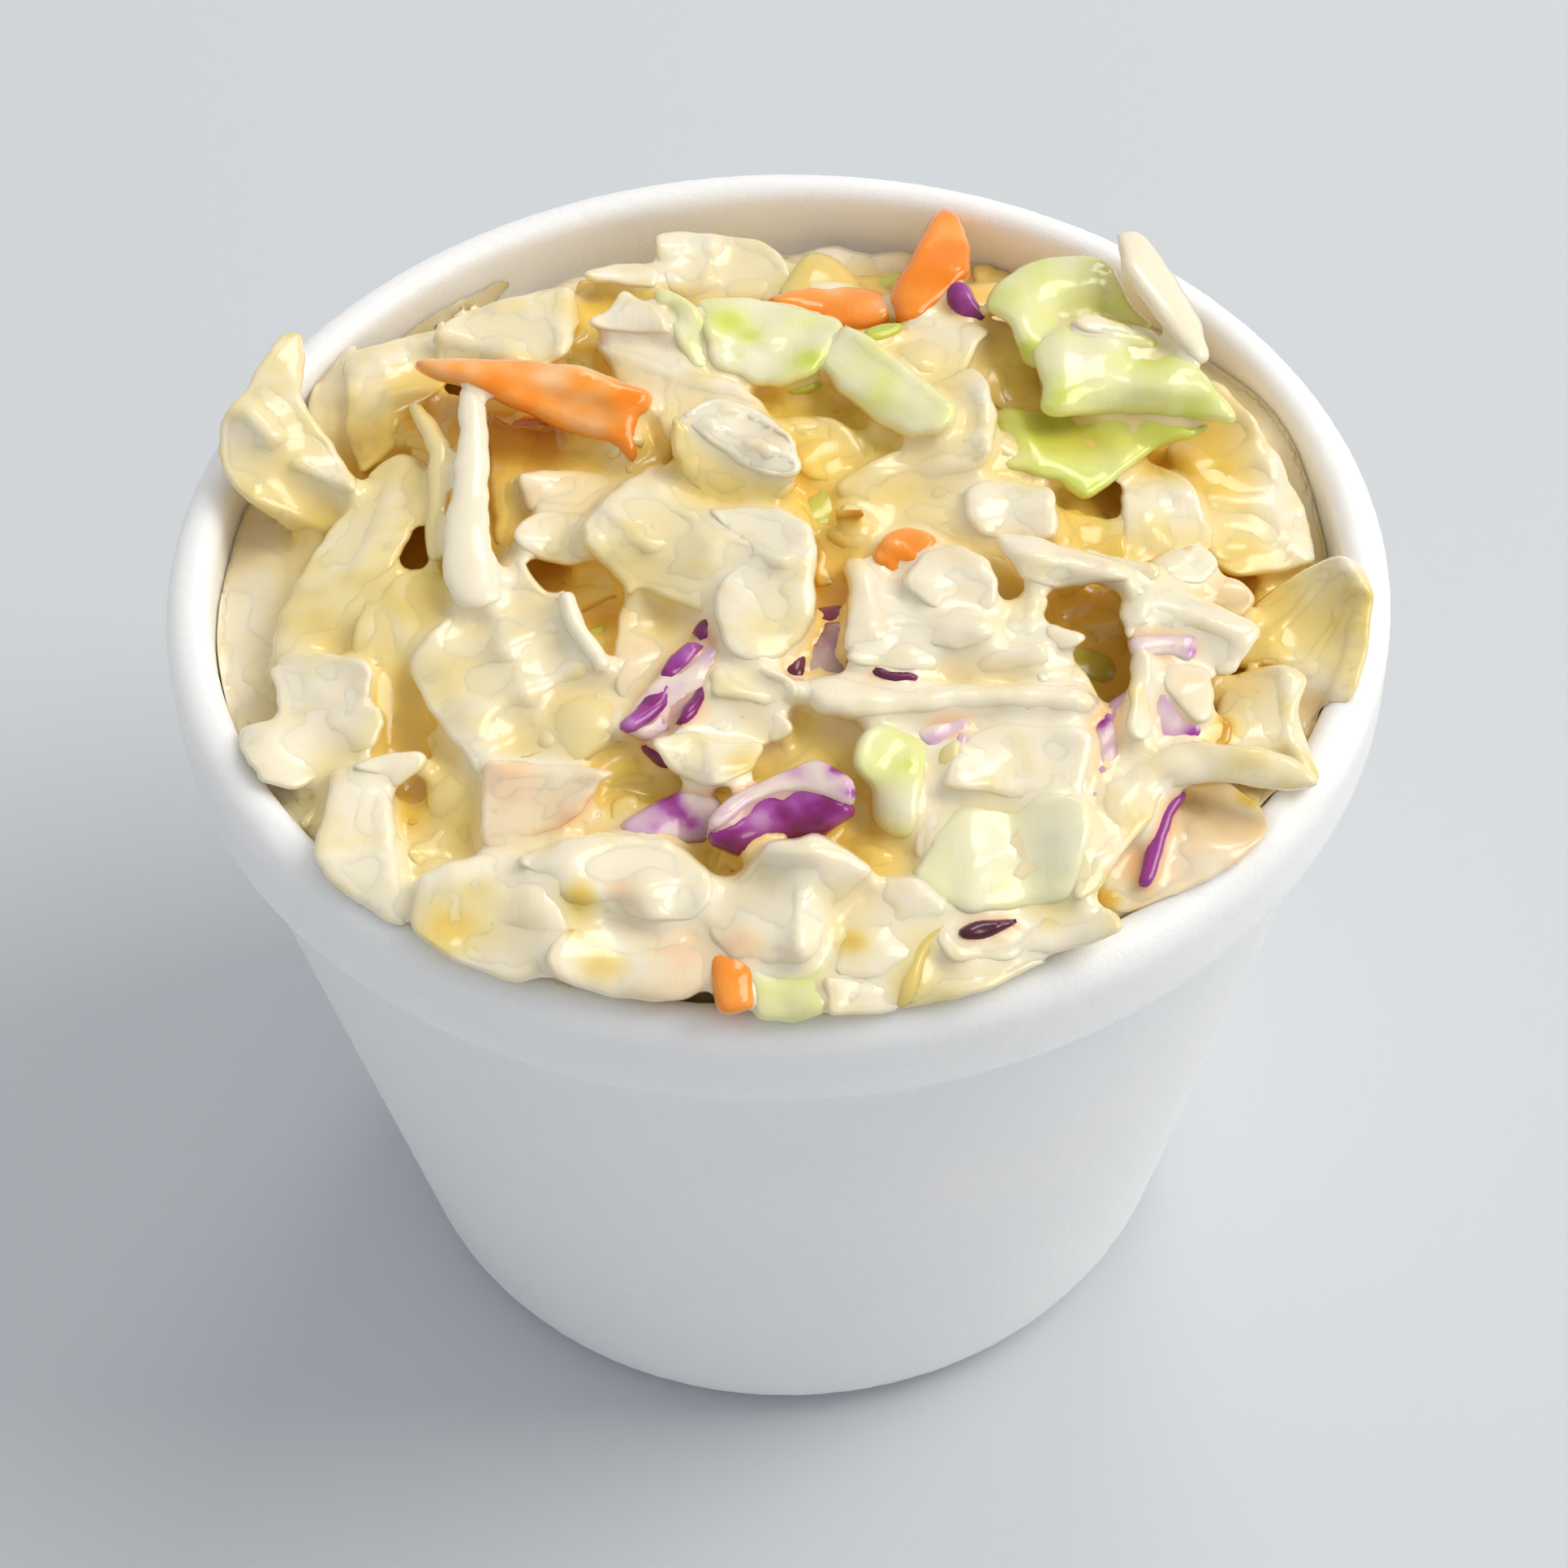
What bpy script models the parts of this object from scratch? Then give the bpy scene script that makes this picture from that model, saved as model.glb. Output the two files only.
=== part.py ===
"""Coleslaw in a white foam cup: a turned expanded-polystyrene cup and the heap of slaw that fills it.

Metres, +Z up. The origin is the centre of the cup's base, and the front of the cup faces -Y.
"""
import math

import bmesh
import bpy
from mathutils import Vector, noise

# ---- driving dimensions of the cup -------------------------------------------------------------
RIM_RADIUS = 0.0445          # outside of the collar and lip
CUP_HEIGHT = 0.066
BASE_RADIUS = 0.0313         # the tapered wall carried down to the table
BASE_ROUND = 0.0052          # round of the bottom edge, outside
COLLAR_HEIGHT = 0.0072       # the thicker band under the lip
COLLAR_STEP = 0.0014         # how far the collar stands out from the wall
STEP_ROUND = 0.0007
LIP_WIDTH = 0.0034
LIP_ROUND_OUT = 0.0020       # outer round of the lip
LIP_ROUND_IN = 0.0012
WALL = 0.0023                # thickness of the foam wall, measured level
FLOOR = 0.0026
FLOOR_ROUND = 0.0040         # round between the floor and the wall, inside
CUP_SEGMENTS = 84

# ---- driving dimensions of the slaw ------------------------------------------------------------
GAP = 0.0003                 # clearance that two pieces which touch keep
CROWN = 0.0030               # middle of the heap above the rim
EDGE_DROP = 0.0110           # fall of the dome from its crown to the wall
FRONT_FILL = 0.0070          # how much higher the heap meets the wall at the front
FRONT_SPREAD = 55.0          # degrees to each side of the front over which that fill fades
EDGE_ROUND = 0.0015
SLAW_SEGMENTS = 72
SLAW_RINGS = 16
TUMBLE = 0.0022              # height of the small lumps all over the heap
TUMBLE_SIZE = 0.0065         # distance between them

# Large lumps and one hollow that give the heap its outline: clock angle from +X, radius, width and rise.
LOBES = (
    ("leaf leaning on the left of the rim", 157.0, 0.0330, 0.0068, 0.0085),
    ("crumpled green leaf at the back right", 43.0, 0.0320, 0.0068, 0.0095),
    ("leaf standing at the right wall", 5.0, 0.0350, 0.0050, 0.0060),
    ("chopped pieces heaped at the front", 265.0, 0.0300, 0.0110, 0.0020),
    ("broad leaf left of the middle", 195.0, 0.0190, 0.0090, 0.0022),
    ("thick rib pieces behind the middle", 100.0, 0.0080, 0.0080, 0.0020),
    ("pieces heaped at the back left", 120.0, 0.0300, 0.0060, 0.0040),
    ("hollow at the back wall", 84.0, 0.0370, 0.0085, -0.0040),
)

WHITE_FOAM = (0.86, 0.86, 0.86)
DRESSED_CABBAGE = (0.83, 0.76, 0.55)


def clear_scene():
    """Start from an empty scene without closing the file that this script runs from."""
    for thing in list(bpy.data.objects):
        bpy.data.objects.remove(thing, do_unlink=True)


def make_material(name, colour, roughness):
    material = bpy.data.materials.new(name)
    material.use_nodes = True
    shader = material.node_tree.nodes["Principled BSDF"]
    shader.inputs["Base Color"].default_value = (*colour, 1.0)
    shader.inputs["Roughness"].default_value = roughness
    shader.inputs["Metallic"].default_value = 0.0
    return material


def arc(centre_x, centre_z, radius, start, end, steps):
    """Points of an arc in the XZ plane, from the start angle to the end angle in degrees."""
    points = []
    for step in range(steps + 1):
        angle = math.radians(start + (end - start) * step / steps)
        points.append((centre_x + radius * math.cos(angle), centre_z + radius * math.sin(angle)))
    return points


COLLAR_FOOT = CUP_HEIGHT - COLLAR_HEIGHT
WALL_TOP_RADIUS = RIM_RADIUS - COLLAR_STEP
TAPER = (WALL_TOP_RADIUS - BASE_RADIUS) / COLLAR_FOOT    # outward run of the wall for each unit of height
LEAN = math.degrees(math.atan(TAPER))


def inner_radius(height, clearance=0.0):
    """Radius of the cup's inside at a height above the floor's round."""
    tapered = BASE_RADIUS + TAPER * height - WALL
    mouth = RIM_RADIUS - LIP_WIDTH
    return min(tapered, mouth) - clearance


def inside_profile(clearance):
    """Floor and inner wall, from the axis outwards and up to just below the lip."""
    floor_height = FLOOR + clearance
    rounding = FLOOR_ROUND - clearance
    centre_z = floor_height + rounding
    slope = rounding / math.cos(math.radians(LEAN)) - TAPER * rounding
    centre_x = inner_radius(floor_height + rounding, clearance) - slope - TAPER * rounding
    return [(0.0, floor_height)] + arc(centre_x, centre_z, rounding, -90.0, -LEAN, 5)


def cup_profile():
    """The cup's section: inner floor, inner wall, lip, collar, outer wall and bottom, in that order."""
    mouth = RIM_RADIUS - LIP_WIDTH
    mouth_meets_taper = (mouth + WALL - BASE_RADIUS) / TAPER
    points = inside_profile(0.0)
    points.append((mouth, mouth_meets_taper))
    points += arc(mouth + LIP_ROUND_IN, CUP_HEIGHT - LIP_ROUND_IN, LIP_ROUND_IN, 180.0, 90.0, 4)
    points += arc(RIM_RADIUS - LIP_ROUND_OUT, CUP_HEIGHT - LIP_ROUND_OUT, LIP_ROUND_OUT, 90.0, 0.0, 5)
    points += arc(RIM_RADIUS - STEP_ROUND, COLLAR_FOOT + STEP_ROUND, STEP_ROUND, 0.0, -90.0, 3)
    points.append((WALL_TOP_RADIUS, COLLAR_FOOT))
    slope = BASE_ROUND / math.cos(math.radians(LEAN)) - TAPER * BASE_ROUND
    points += arc(BASE_RADIUS - slope, BASE_ROUND, BASE_ROUND, -LEAN, -90.0, 6)
    points.append((0.0, 0.0))
    return points


def slaw_profile():
    """The heap's section from the crown outwards, then down the wall and in along the floor."""
    brim = inner_radius(CUP_HEIGHT, GAP) - EDGE_ROUND
    points = []
    for ring in range(SLAW_RINGS + 1):
        radius = brim * ring / SLAW_RINGS
        points.append((radius, dome_height(radius)))
    edge_z = dome_height(brim) - EDGE_ROUND
    wall_x = inner_radius(edge_z, GAP)
    points += arc(wall_x - EDGE_ROUND, edge_z, EDGE_ROUND, 60.0, 0.0, 2)
    points += reversed(inside_profile(GAP))
    return points


def dome_height(radius):
    """Height of the plain dome under the lumps."""
    share = radius / (RIM_RADIUS - LIP_WIDTH)
    return CUP_HEIGHT + CROWN - EDGE_DROP * share ** 2.4


def lump_height(x, y):
    """Rise of the large lobes and the small tumbled pieces over the dome at one place."""
    rise = TUMBLE * noise.noise(Vector((x / TUMBLE_SIZE, y / TUMBLE_SIZE, 0.5)))
    for _label, clock, radius, width, height in LOBES:
        lobe_x = radius * math.cos(math.radians(clock))
        lobe_y = radius * math.sin(math.radians(clock))
        distance = math.hypot(x - lobe_x, y - lobe_y)
        rise += height * math.exp(-(distance / width) ** 2)
    return rise


def front_rise(x, y, share):
    """Extra height towards the front of the wall, where the slaw is heaped up to the rim."""
    off_front = abs(math.degrees(math.atan2(x, -y)))
    return FRONT_FILL * math.exp(-(off_front / FRONT_SPREAD) ** 2) * share ** 3


def turn(name, profile, segments, collection, material):
    """Turn a section about Z with a Screw modifier and return the object with the modifier live."""
    mesh = bpy.data.meshes.new(name)
    mesh.from_pydata([(x, 0.0, z) for x, z in profile], [(i, i + 1) for i in range(len(profile) - 1)], [])
    turned = bpy.data.objects.new(name, mesh)
    collection.objects.link(turned)
    screw = turned.modifiers.new("Turn", "SCREW")
    screw.axis = "Z"
    screw.angle = math.radians(360.0)
    screw.steps = segments
    screw.render_steps = segments
    screw.use_merge_vertices = True
    screw.merge_threshold = 0.00001
    turned.data.materials.append(material)
    return turned


def apply_modifiers(thing):
    """Put the evaluated mesh in place of the profile, so that its points can be moved."""
    bpy.context.view_layer.update()
    evaluated = thing.evaluated_get(bpy.context.evaluated_depsgraph_get())
    mesh = bpy.data.meshes.new_from_object(evaluated)
    mesh.name = thing.name
    thing.modifiers.clear()
    thing.data = mesh


def smooth(thing, angle):
    """Shade the mesh smooth and keep the edges that are sharper than the angle."""
    thing.data.shade_smooth()
    thing.data.set_sharp_from_angle(angle=math.radians(angle))


def raise_heap(slaw):
    """Lift the points of the turned dome by the lumps, which fade out at the wall, and by the front's fill."""
    brim = inner_radius(CUP_HEIGHT, GAP) - EDGE_ROUND
    lowest_top = dome_height(brim) - EDGE_ROUND
    shape = bmesh.new()
    shape.from_mesh(slaw.data)
    for vertex in shape.verts:
        x, y, z = vertex.co
        if z < lowest_top - 0.0001:
            continue
        share = min(math.hypot(x, y) / brim, 1.0)
        vertex.co.z += (1.0 - share ** 12) * lump_height(x, y) + front_rise(x, y, share)
    bmesh.ops.triangulate(shape, faces=shape.faces)
    shape.to_mesh(slaw.data)
    shape.free()


def make_cup(collection):
    foam = make_material("white_foam", WHITE_FOAM, 0.55)
    cup = turn("cup", cup_profile(), CUP_SEGMENTS, collection, foam)
    apply_modifiers(cup)
    smooth(cup, 35.0)
    return cup


def make_slaw(collection):
    cabbage = make_material("dressed_cabbage", DRESSED_CABBAGE, 0.35)
    slaw = turn("slaw", slaw_profile(), SLAW_SEGMENTS, collection, cabbage)
    apply_modifiers(slaw)
    raise_heap(slaw)
    smooth(slaw, 50.0)
    return slaw


def main():
    clear_scene()
    parts = bpy.data.collections.new("coleslaw_in_cup")
    bpy.context.scene.collection.children.link(parts)
    make_cup(parts)
    make_slaw(parts)


main()
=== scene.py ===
# %% [markdown]
# # Coleslaw in a white foam cup
# The object is a small foam cup heaped with chopped cabbage, carrot and red cabbage in a creamy dressing.
# The frame below is the fixed model that the rest is built around: a node `cup` and a node `slaw`. The cup is
# turned again with a finer surface, and the plain heap gives way to separate chopped pieces over a smaller core.

# %% Load the frame
import math

import bpy
import numpy as np
from mathutils import Matrix, Vector
from mathutils.geometry import delaunay_2d_cdt


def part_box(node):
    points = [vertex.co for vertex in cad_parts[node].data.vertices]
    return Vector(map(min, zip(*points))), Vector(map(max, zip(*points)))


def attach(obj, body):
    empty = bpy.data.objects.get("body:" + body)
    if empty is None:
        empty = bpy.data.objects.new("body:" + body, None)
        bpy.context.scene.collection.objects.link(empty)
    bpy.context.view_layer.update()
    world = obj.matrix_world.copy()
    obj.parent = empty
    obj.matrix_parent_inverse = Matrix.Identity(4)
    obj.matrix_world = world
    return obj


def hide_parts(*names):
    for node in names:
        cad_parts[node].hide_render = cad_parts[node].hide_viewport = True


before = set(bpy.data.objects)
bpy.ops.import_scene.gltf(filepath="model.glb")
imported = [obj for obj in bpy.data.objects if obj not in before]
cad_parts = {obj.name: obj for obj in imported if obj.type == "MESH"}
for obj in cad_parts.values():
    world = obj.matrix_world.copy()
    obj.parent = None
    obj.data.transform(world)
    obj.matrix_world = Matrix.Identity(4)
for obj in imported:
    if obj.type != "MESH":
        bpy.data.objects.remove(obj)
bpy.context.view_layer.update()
MM = 0.001
CUP_LOW, CUP_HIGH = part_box("cup")
SLAW_LOW, SLAW_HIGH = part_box("slaw")
RIM_Z = CUP_HIGH.z / MM
RIM_RADIUS = CUP_HIGH.x / MM
print(f"rim at {RIM_Z:.1f} mm, radius {RIM_RADIUS:.1f} mm, slaw up to {SLAW_HIGH.z / MM:.1f} mm")

# %% [markdown]
# ## Colours
# Colours are picked as sRGB hex values, which is how a screen shows them. Shaders work in linear light, so one
# function turns a hex value to linear before it reaches a node.

# %% Colour and node helpers
def linear(hex_value):
    """An sRGB hex colour as a linear RGBA tuple."""
    channels = [int(hex_value[i:i + 2], 16) / 255 for i in (1, 3, 5)]
    return tuple(c / 12.92 if c <= 0.04045 else ((c + 0.055) / 1.055) ** 2.4 for c in channels) + (1.0,)


def add_node(tree, kind, settings=None, **links):
    """Add a node, set its properties, and set or link its inputs by name ('_' stands for a space)."""
    node = tree.nodes.new(kind)
    for name, value in (settings or {}).items():
        setattr(node, name, value)
    for name, value in links.items():
        socket = node.inputs[int(name[1:])] if name[0] == "i" and name[1:].isdigit() else node.inputs[name.replace("_", " ")]
        if isinstance(value, bpy.types.NodeSocket):
            tree.links.new(value, socket)
        else:
            socket.default_value = value
    return node


def new_material(name):
    """A material with its Principled shader, ready for more nodes."""
    material = bpy.data.materials.new(name)
    material.use_nodes = True
    shader = material.node_tree.nodes["Principled BSDF"]
    shader.subsurface_method = "BURLEY"
    return material, material.node_tree, shader


# %% [markdown]
# ## Camera
# The eye stands in front of the cup and looks down on it at about 48 degrees, through a lens long enough to keep the
# rim's ellipse nearly parallel. The camera leans a degree and a half to one side.

# %% Camera
EYE_ELEVATION = 48.4
EYE_ROLL = -1.5
EYE_DISTANCE = 284.5
AIM = Vector((0.1, 0.0, 40.7)) * MM
LENS = 83.85

def make_camera():
    elevation, roll = math.radians(EYE_ELEVATION), math.radians(EYE_ROLL)
    back = Vector((0.0, -math.cos(elevation), math.sin(elevation)))
    up = Vector((0.0, math.sin(elevation), math.cos(elevation)))
    right = Vector((1.0, 0.0, 0.0))
    tilted_right = math.cos(roll) * right + math.sin(roll) * up
    tilted_up = math.cos(roll) * up - math.sin(roll) * right
    data = bpy.data.cameras.new("eye")
    data.lens = LENS
    data.clip_start = 0.01
    camera = bpy.data.objects.new("eye", data)
    bpy.context.scene.collection.objects.link(camera)
    turn = Matrix((tilted_right, tilted_up, back)).transposed().to_4x4()
    camera.matrix_world = Matrix.Translation(AIM + back * EYE_DISTANCE * MM) @ turn
    bpy.context.scene.camera = camera

make_camera()
print("camera placed")

# %% [markdown]
# ## Light
# The table stands in a bright room with a big window behind and to the right. One large soft lamp is that window,
# a smaller, weaker one shines from behind and to the right, and the world lights the rest.

# %% Lights, world and floor
def add_area_light(name, azimuth, elevation, distance, size, watts, colour):
    """A square lamp that faces the cup, at an azimuth from +X and an elevation, in degrees and metres."""
    data = bpy.data.lights.new(name, "AREA")
    data.size = size
    data.energy = watts
    data.color = linear(colour)[:3]
    lamp = bpy.data.objects.new(name, data)
    bpy.context.scene.collection.objects.link(lamp)
    a, e = math.radians(azimuth), math.radians(elevation)
    away = Vector((math.cos(a) * math.cos(e), math.sin(a) * math.cos(e), math.sin(e)))
    lamp.location = away * distance
    lamp.rotation_euler = away.to_track_quat("Z", "Y").to_euler()

add_area_light("window", azimuth=8, elevation=46, distance=2.5, size=1.5, watts=40.5, colour="#fffaf0")
add_area_light("back_window", azimuth=72, elevation=44, distance=2.5, size=0.7, watts=8.0, colour="#fffcf8")

def make_world():
    world = bpy.data.worlds.new("room")
    world.use_nodes = True
    background = world.node_tree.nodes["Background"]
    background.inputs["Color"].default_value = linear("#f0f2f4")
    background.inputs["Strength"].default_value = 0.64
    bpy.context.scene.world = world
    bpy.context.scene.view_settings.view_transform = "Standard"
    bpy.context.scene.cycles.adaptive_threshold = 0.15

make_world()

def make_floor():
    mesh = bpy.data.meshes.new("floor")
    half = 3.0
    mesh.from_pydata([(-half, -half, 0), (half, -half, 0), (half, half, 0), (-half, half, 0)], [], [(0, 1, 2, 3)])
    floor = bpy.data.objects.new("floor", mesh)
    bpy.context.scene.collection.objects.link(floor)
    material, tree, shader = new_material("pale_table_top")
    shader.inputs["Base Color"].default_value = linear("#cbd0d5")
    shader.inputs["Roughness"].default_value = 0.7
    mesh.materials.append(material)

make_floor()

# %% [markdown]
# ## The foam cup
# The cup is moulded from steam-expanded polystyrene beads. It is a turned shape: a section that a Screw modifier
# turns about the axis. The section has the same sizes as the fixed model. Its points are then resampled closely
# enough for the beads, which a small Geometry Nodes tree presses out of the surface by a few hundredths of a millimetre.

# %% Cup section
BASE_RADIUS = 31.3
BASE_ROUND = 5.2
COLLAR_FOOT = RIM_Z - 7.2
WALL_TOP_RADIUS = RIM_RADIUS - 1.4
STEP_ROUND = 0.7
MOUTH_RADIUS = RIM_RADIUS - 3.4
LIP_ROUND_OUT = 2.0
LIP_ROUND_IN = 1.2
WALL = 2.3
FLOOR = 2.6
FLOOR_ROUND = 4.0
TAPER = (WALL_TOP_RADIUS - BASE_RADIUS) / COLLAR_FOOT
LEAN = math.degrees(math.atan(TAPER))

def arc(x, z, radius, start, end, steps):
    """Points of an arc in the section, from the start angle to the end angle in degrees."""
    angles = np.radians(np.linspace(start, end, steps + 1))
    return [(x + radius * math.cos(a), z + radius * math.sin(a)) for a in angles]

def inner_radius(height):
    """Radius of the inside of the wall at a height."""
    return min(BASE_RADIUS + TAPER * height - WALL, MOUTH_RADIUS)

def round_offset(radius):
    """How far the centre of a round at the foot of a tapered wall lies inside that wall's line."""
    return radius / math.cos(math.radians(LEAN)) - TAPER * radius

def cup_section():
    """From the middle of the floor up the inside, over the lip, down the outside and in along the bottom."""
    foot_x = inner_radius(FLOOR) - round_offset(FLOOR_ROUND)
    points = [(0.0, FLOOR)] + arc(foot_x, FLOOR + FLOOR_ROUND, FLOOR_ROUND, -90, -LEAN, 6)
    points.append((MOUTH_RADIUS, (MOUTH_RADIUS + WALL - BASE_RADIUS) / TAPER))
    points += arc(MOUTH_RADIUS + LIP_ROUND_IN, RIM_Z - LIP_ROUND_IN, LIP_ROUND_IN, 180, 90, 5)
    points += arc(RIM_RADIUS - LIP_ROUND_OUT, RIM_Z - LIP_ROUND_OUT, LIP_ROUND_OUT, 90, 0, 7)
    points += arc(RIM_RADIUS - STEP_ROUND, COLLAR_FOOT + STEP_ROUND, STEP_ROUND, 0, -90, 4)
    points.append((WALL_TOP_RADIUS, COLLAR_FOOT))
    points += arc(BASE_RADIUS - round_offset(BASE_ROUND), BASE_ROUND, BASE_ROUND, -LEAN, -90, 10)
    points.append((0.0, 0.0))
    return points

def resample(points, fine, coarse, is_fine):
    """Add points along a section's straight runs, close together where is_fine says so."""
    out = [points[0]]
    for (x0, z0), (x1, z1) in zip(points, points[1:]):
        spacing = fine if is_fine((x0 + x1) / 2, (z0 + z1) / 2) else coarse
        count = max(1, round(math.hypot(x1 - x0, z1 - z0) / spacing))
        out += [(x0 + (x1 - x0) * i / count, z0 + (z1 - z0) * i / count) for i in range(1, count + 1)]
    return out

def split_wall(points, height):
    """Add a point to the inner wall at a height, so that the rows above it can be finer."""
    for i, ((x0, z0), (x1, z1)) in enumerate(zip(points, points[1:])):
        if z0 < height < z1:
            share = (height - z0) / (z1 - z0)
            return points[:i + 1] + [(x0 + (x1 - x0) * share, height)] + points[i + 1:]
    return points

# %% Bead relief tree
def bead_relief_tree():
    """Geometry Nodes: push the surface out over each bead and in along the seams between the beads."""
    tree = bpy.data.node_groups.new("foam_bead_relief", "GeometryNodeTree")
    tree.interface.new_socket("Geometry", in_out="INPUT", socket_type="NodeSocketGeometry")
    tree.interface.new_socket("Bead size", in_out="INPUT", socket_type="NodeSocketFloat")
    tree.interface.new_socket("Relief", in_out="INPUT", socket_type="NodeSocketFloat")
    tree.interface.new_socket("Material", in_out="INPUT", socket_type="NodeSocketMaterial")
    tree.interface.new_socket("Geometry", in_out="OUTPUT", socket_type="NodeSocketGeometry")
    given = add_node(tree, "NodeGroupInput")
    density = add_node(tree, "ShaderNodeMath", {"operation": "DIVIDE"}, i0=1.0, i1=given.outputs["Bead size"])
    beads = add_node(tree, "ShaderNodeTexVoronoi", {"feature": "F1"}, Scale=density.outputs[0])
    swell = add_node(tree, "ShaderNodeMath", {"operation": "SUBTRACT"}, i0=0.45, i1=beads.outputs["Distance"])
    rise = add_node(tree, "ShaderNodeMath", {"operation": "MULTIPLY"}, i0=swell.outputs[0], i1=given.outputs["Relief"])
    normal = add_node(tree, "GeometryNodeInputNormal")
    offset = add_node(tree, "ShaderNodeVectorMath", {"operation": "SCALE"}, i0=normal.outputs[0], Scale=rise.outputs[0])
    moved = add_node(tree, "GeometryNodeSetPosition", Geometry=given.outputs["Geometry"], Offset=offset.outputs[0])
    whole = add_node(tree, "GeometryNodeRealizeInstances", i0=moved.outputs[0])
    finish = add_node(tree, "GeometryNodeSetMaterial", Geometry=whole.outputs[0], Material=given.outputs["Material"])
    result = add_node(tree, "NodeGroupOutput")
    tree.links.new(finish.outputs[0], result.inputs[0])
    return tree

def set_input(modifier, name, value):
    """Set a Geometry Nodes input by its socket's identifier, found from its name."""
    for item in modifier.node_group.interface.items_tree:
        if item.item_type == "SOCKET" and item.in_out == "INPUT" and item.name == name:
            modifier[item.identifier] = value

def bake(piece):
    """Put the evaluated mesh in place of the piece's own, and drop its modifiers."""
    bpy.context.view_layer.update()
    evaluated = piece.evaluated_get(bpy.context.evaluated_depsgraph_get())
    mesh = bpy.data.meshes.new_from_object(evaluated)
    piece.modifiers.clear()
    piece.data = mesh
    mesh.name = piece.name
    return piece

# %% [markdown]
# ### Foam finish
# Expanded polystyrene is matt to satin and lets light a little way in, so the lip glows. The beads show as faint
# cells about a millimetre across. The cells come from a Voronoi pattern with the same scale as the relief.

# %% Foam material
BEAD_SIZE = 1.05 * MM

def foam_material():
    material, tree, shader = new_material("expanded_polystyrene_foam")
    place = add_node(tree, "ShaderNodeTexCoord")
    cells = add_node(tree, "ShaderNodeTexVoronoi", {"feature": "DISTANCE_TO_EDGE"}, Vector=place.outputs["Object"],
                     Scale=1 / BEAD_SIZE)
    seam = add_node(tree, "ShaderNodeMapRange", {}, Value=cells.outputs["Distance"], From_Min=0.0, From_Max=0.12)
    bump = add_node(tree, "ShaderNodeBump", {}, Strength=0.25, Distance=0.00006, Height=seam.outputs[0])
    shader.inputs["Base Color"].default_value = linear("#f4f4f5")
    shader.inputs["Roughness"].default_value = 0.45
    shader.inputs["Subsurface Weight"].default_value = 0.6
    shader.inputs["Subsurface Radius"].default_value = (1.0, 0.9, 0.8)
    shader.inputs["Subsurface Scale"].default_value = 0.005
    tree.links.new(bump.outputs["Normal"], shader.inputs["Normal"])
    return material

def make_cup():
    section = split_wall(cup_section(), 52.0)
    section = resample(section, 0.6, 3.0, lambda x, z: z > 51.0 or x > inner_radius(max(z, 3.0)) + 0.5)
    mesh = bpy.data.meshes.new("foam_cup")
    mesh.from_pydata([(x * MM, 0.0, z * MM) for x, z in section], [], [])
    mesh.edges.add(len(section) - 1)
    mesh.edges.foreach_set("vertices", np.array([(i, i + 1) for i in range(len(section) - 1)]).ravel())
    cup = bpy.data.objects.new("foam_cup", mesh)
    bpy.context.scene.collection.objects.link(cup)
    turn = cup.modifiers.new("turn", "SCREW")
    turn.steps = turn.render_steps = 480
    turn.use_merge_vertices = True
    turn.merge_threshold = 0.00001
    beads = cup.modifiers.new("beads", "NODES")
    beads.node_group = bead_relief_tree()
    set_input(beads, "Bead size", BEAD_SIZE)
    set_input(beads, "Relief", 0.00008)
    set_input(beads, "Material", foam_material())
    bake(cup)
    cup.data.shade_smooth()
    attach(cup, "root")
    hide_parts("cup")
    return cup

cup = make_cup()
print("foam cup:", len(cup.data.polygons), "faces")

# %% [markdown]
# ## Chopped pieces
# Every leaf, rib, shred and stick of the salad is the same kind of thing: a strip cut from a leaf or a root. So one
# function makes them all. It follows a smooth centreline, gives it a width at a few stations, lets it crown, bank and
# crinkle, and closes it with a thickness that fades out at the cut edges. Places are given as the eye meets them:
# x and y on the plane of the rim, and a height above the rim, along which the point is then slid down the sight line.

# %% Smooth lines and random waves
SIGHT_SLIDE = 1 / math.tan(math.radians(EYE_ELEVATION))
SIGHT_PLANE = 2.0

def smooth_line(points, shares):
    """A curve that passes smoothly through the points, read at shares from 0 to 1 of the way along."""
    points = np.array(points, float).reshape(len(points), -1)
    padded = np.vstack([2 * points[0] - points[1], points, 2 * points[-1] - points[-2]])
    scaled = np.clip(shares, 0, 1) * (len(points) - 1)
    first = np.minimum(scaled.astype(int), len(points) - 2)
    t = (scaled - first)[:, None]
    a, b, c, d = (padded[first + k] for k in range(4))
    return b + 0.5 * ((c - a) * t + (2 * a - 5 * b + 4 * c - d) * t ** 2 + (3 * b - a - 3 * c + d) * t ** 3)

def waves(x, y, size, seed):
    """A smooth random height field of about -1 to 1 whose bumps are about size apart."""
    draw = np.random.default_rng(seed)
    total = 0.0
    for _ in range(7):
        heading, phase = draw.uniform(0, 2 * math.pi, 2)
        length = size * draw.uniform(0.7, 2.0)
        total = total + np.sin(2 * math.pi * (x * math.cos(heading) + y * math.sin(heading)) / length + phase)
    return total / 3.2

def crowd_ends(count):
    """Values from -1 to 1 that stand closer together near both ends."""
    even = np.linspace(-1, 1, count)
    return 0.35 * even + 0.65 * np.sin(even * math.pi / 2)

# %% One cut strip
class Pile:
    """Points, faces and marks of many cut pieces that end up in one mesh."""
    def __init__(self):
        self.points, self.faces, self.grain, self.tint, self.count = [], [], [], [], 0

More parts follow.
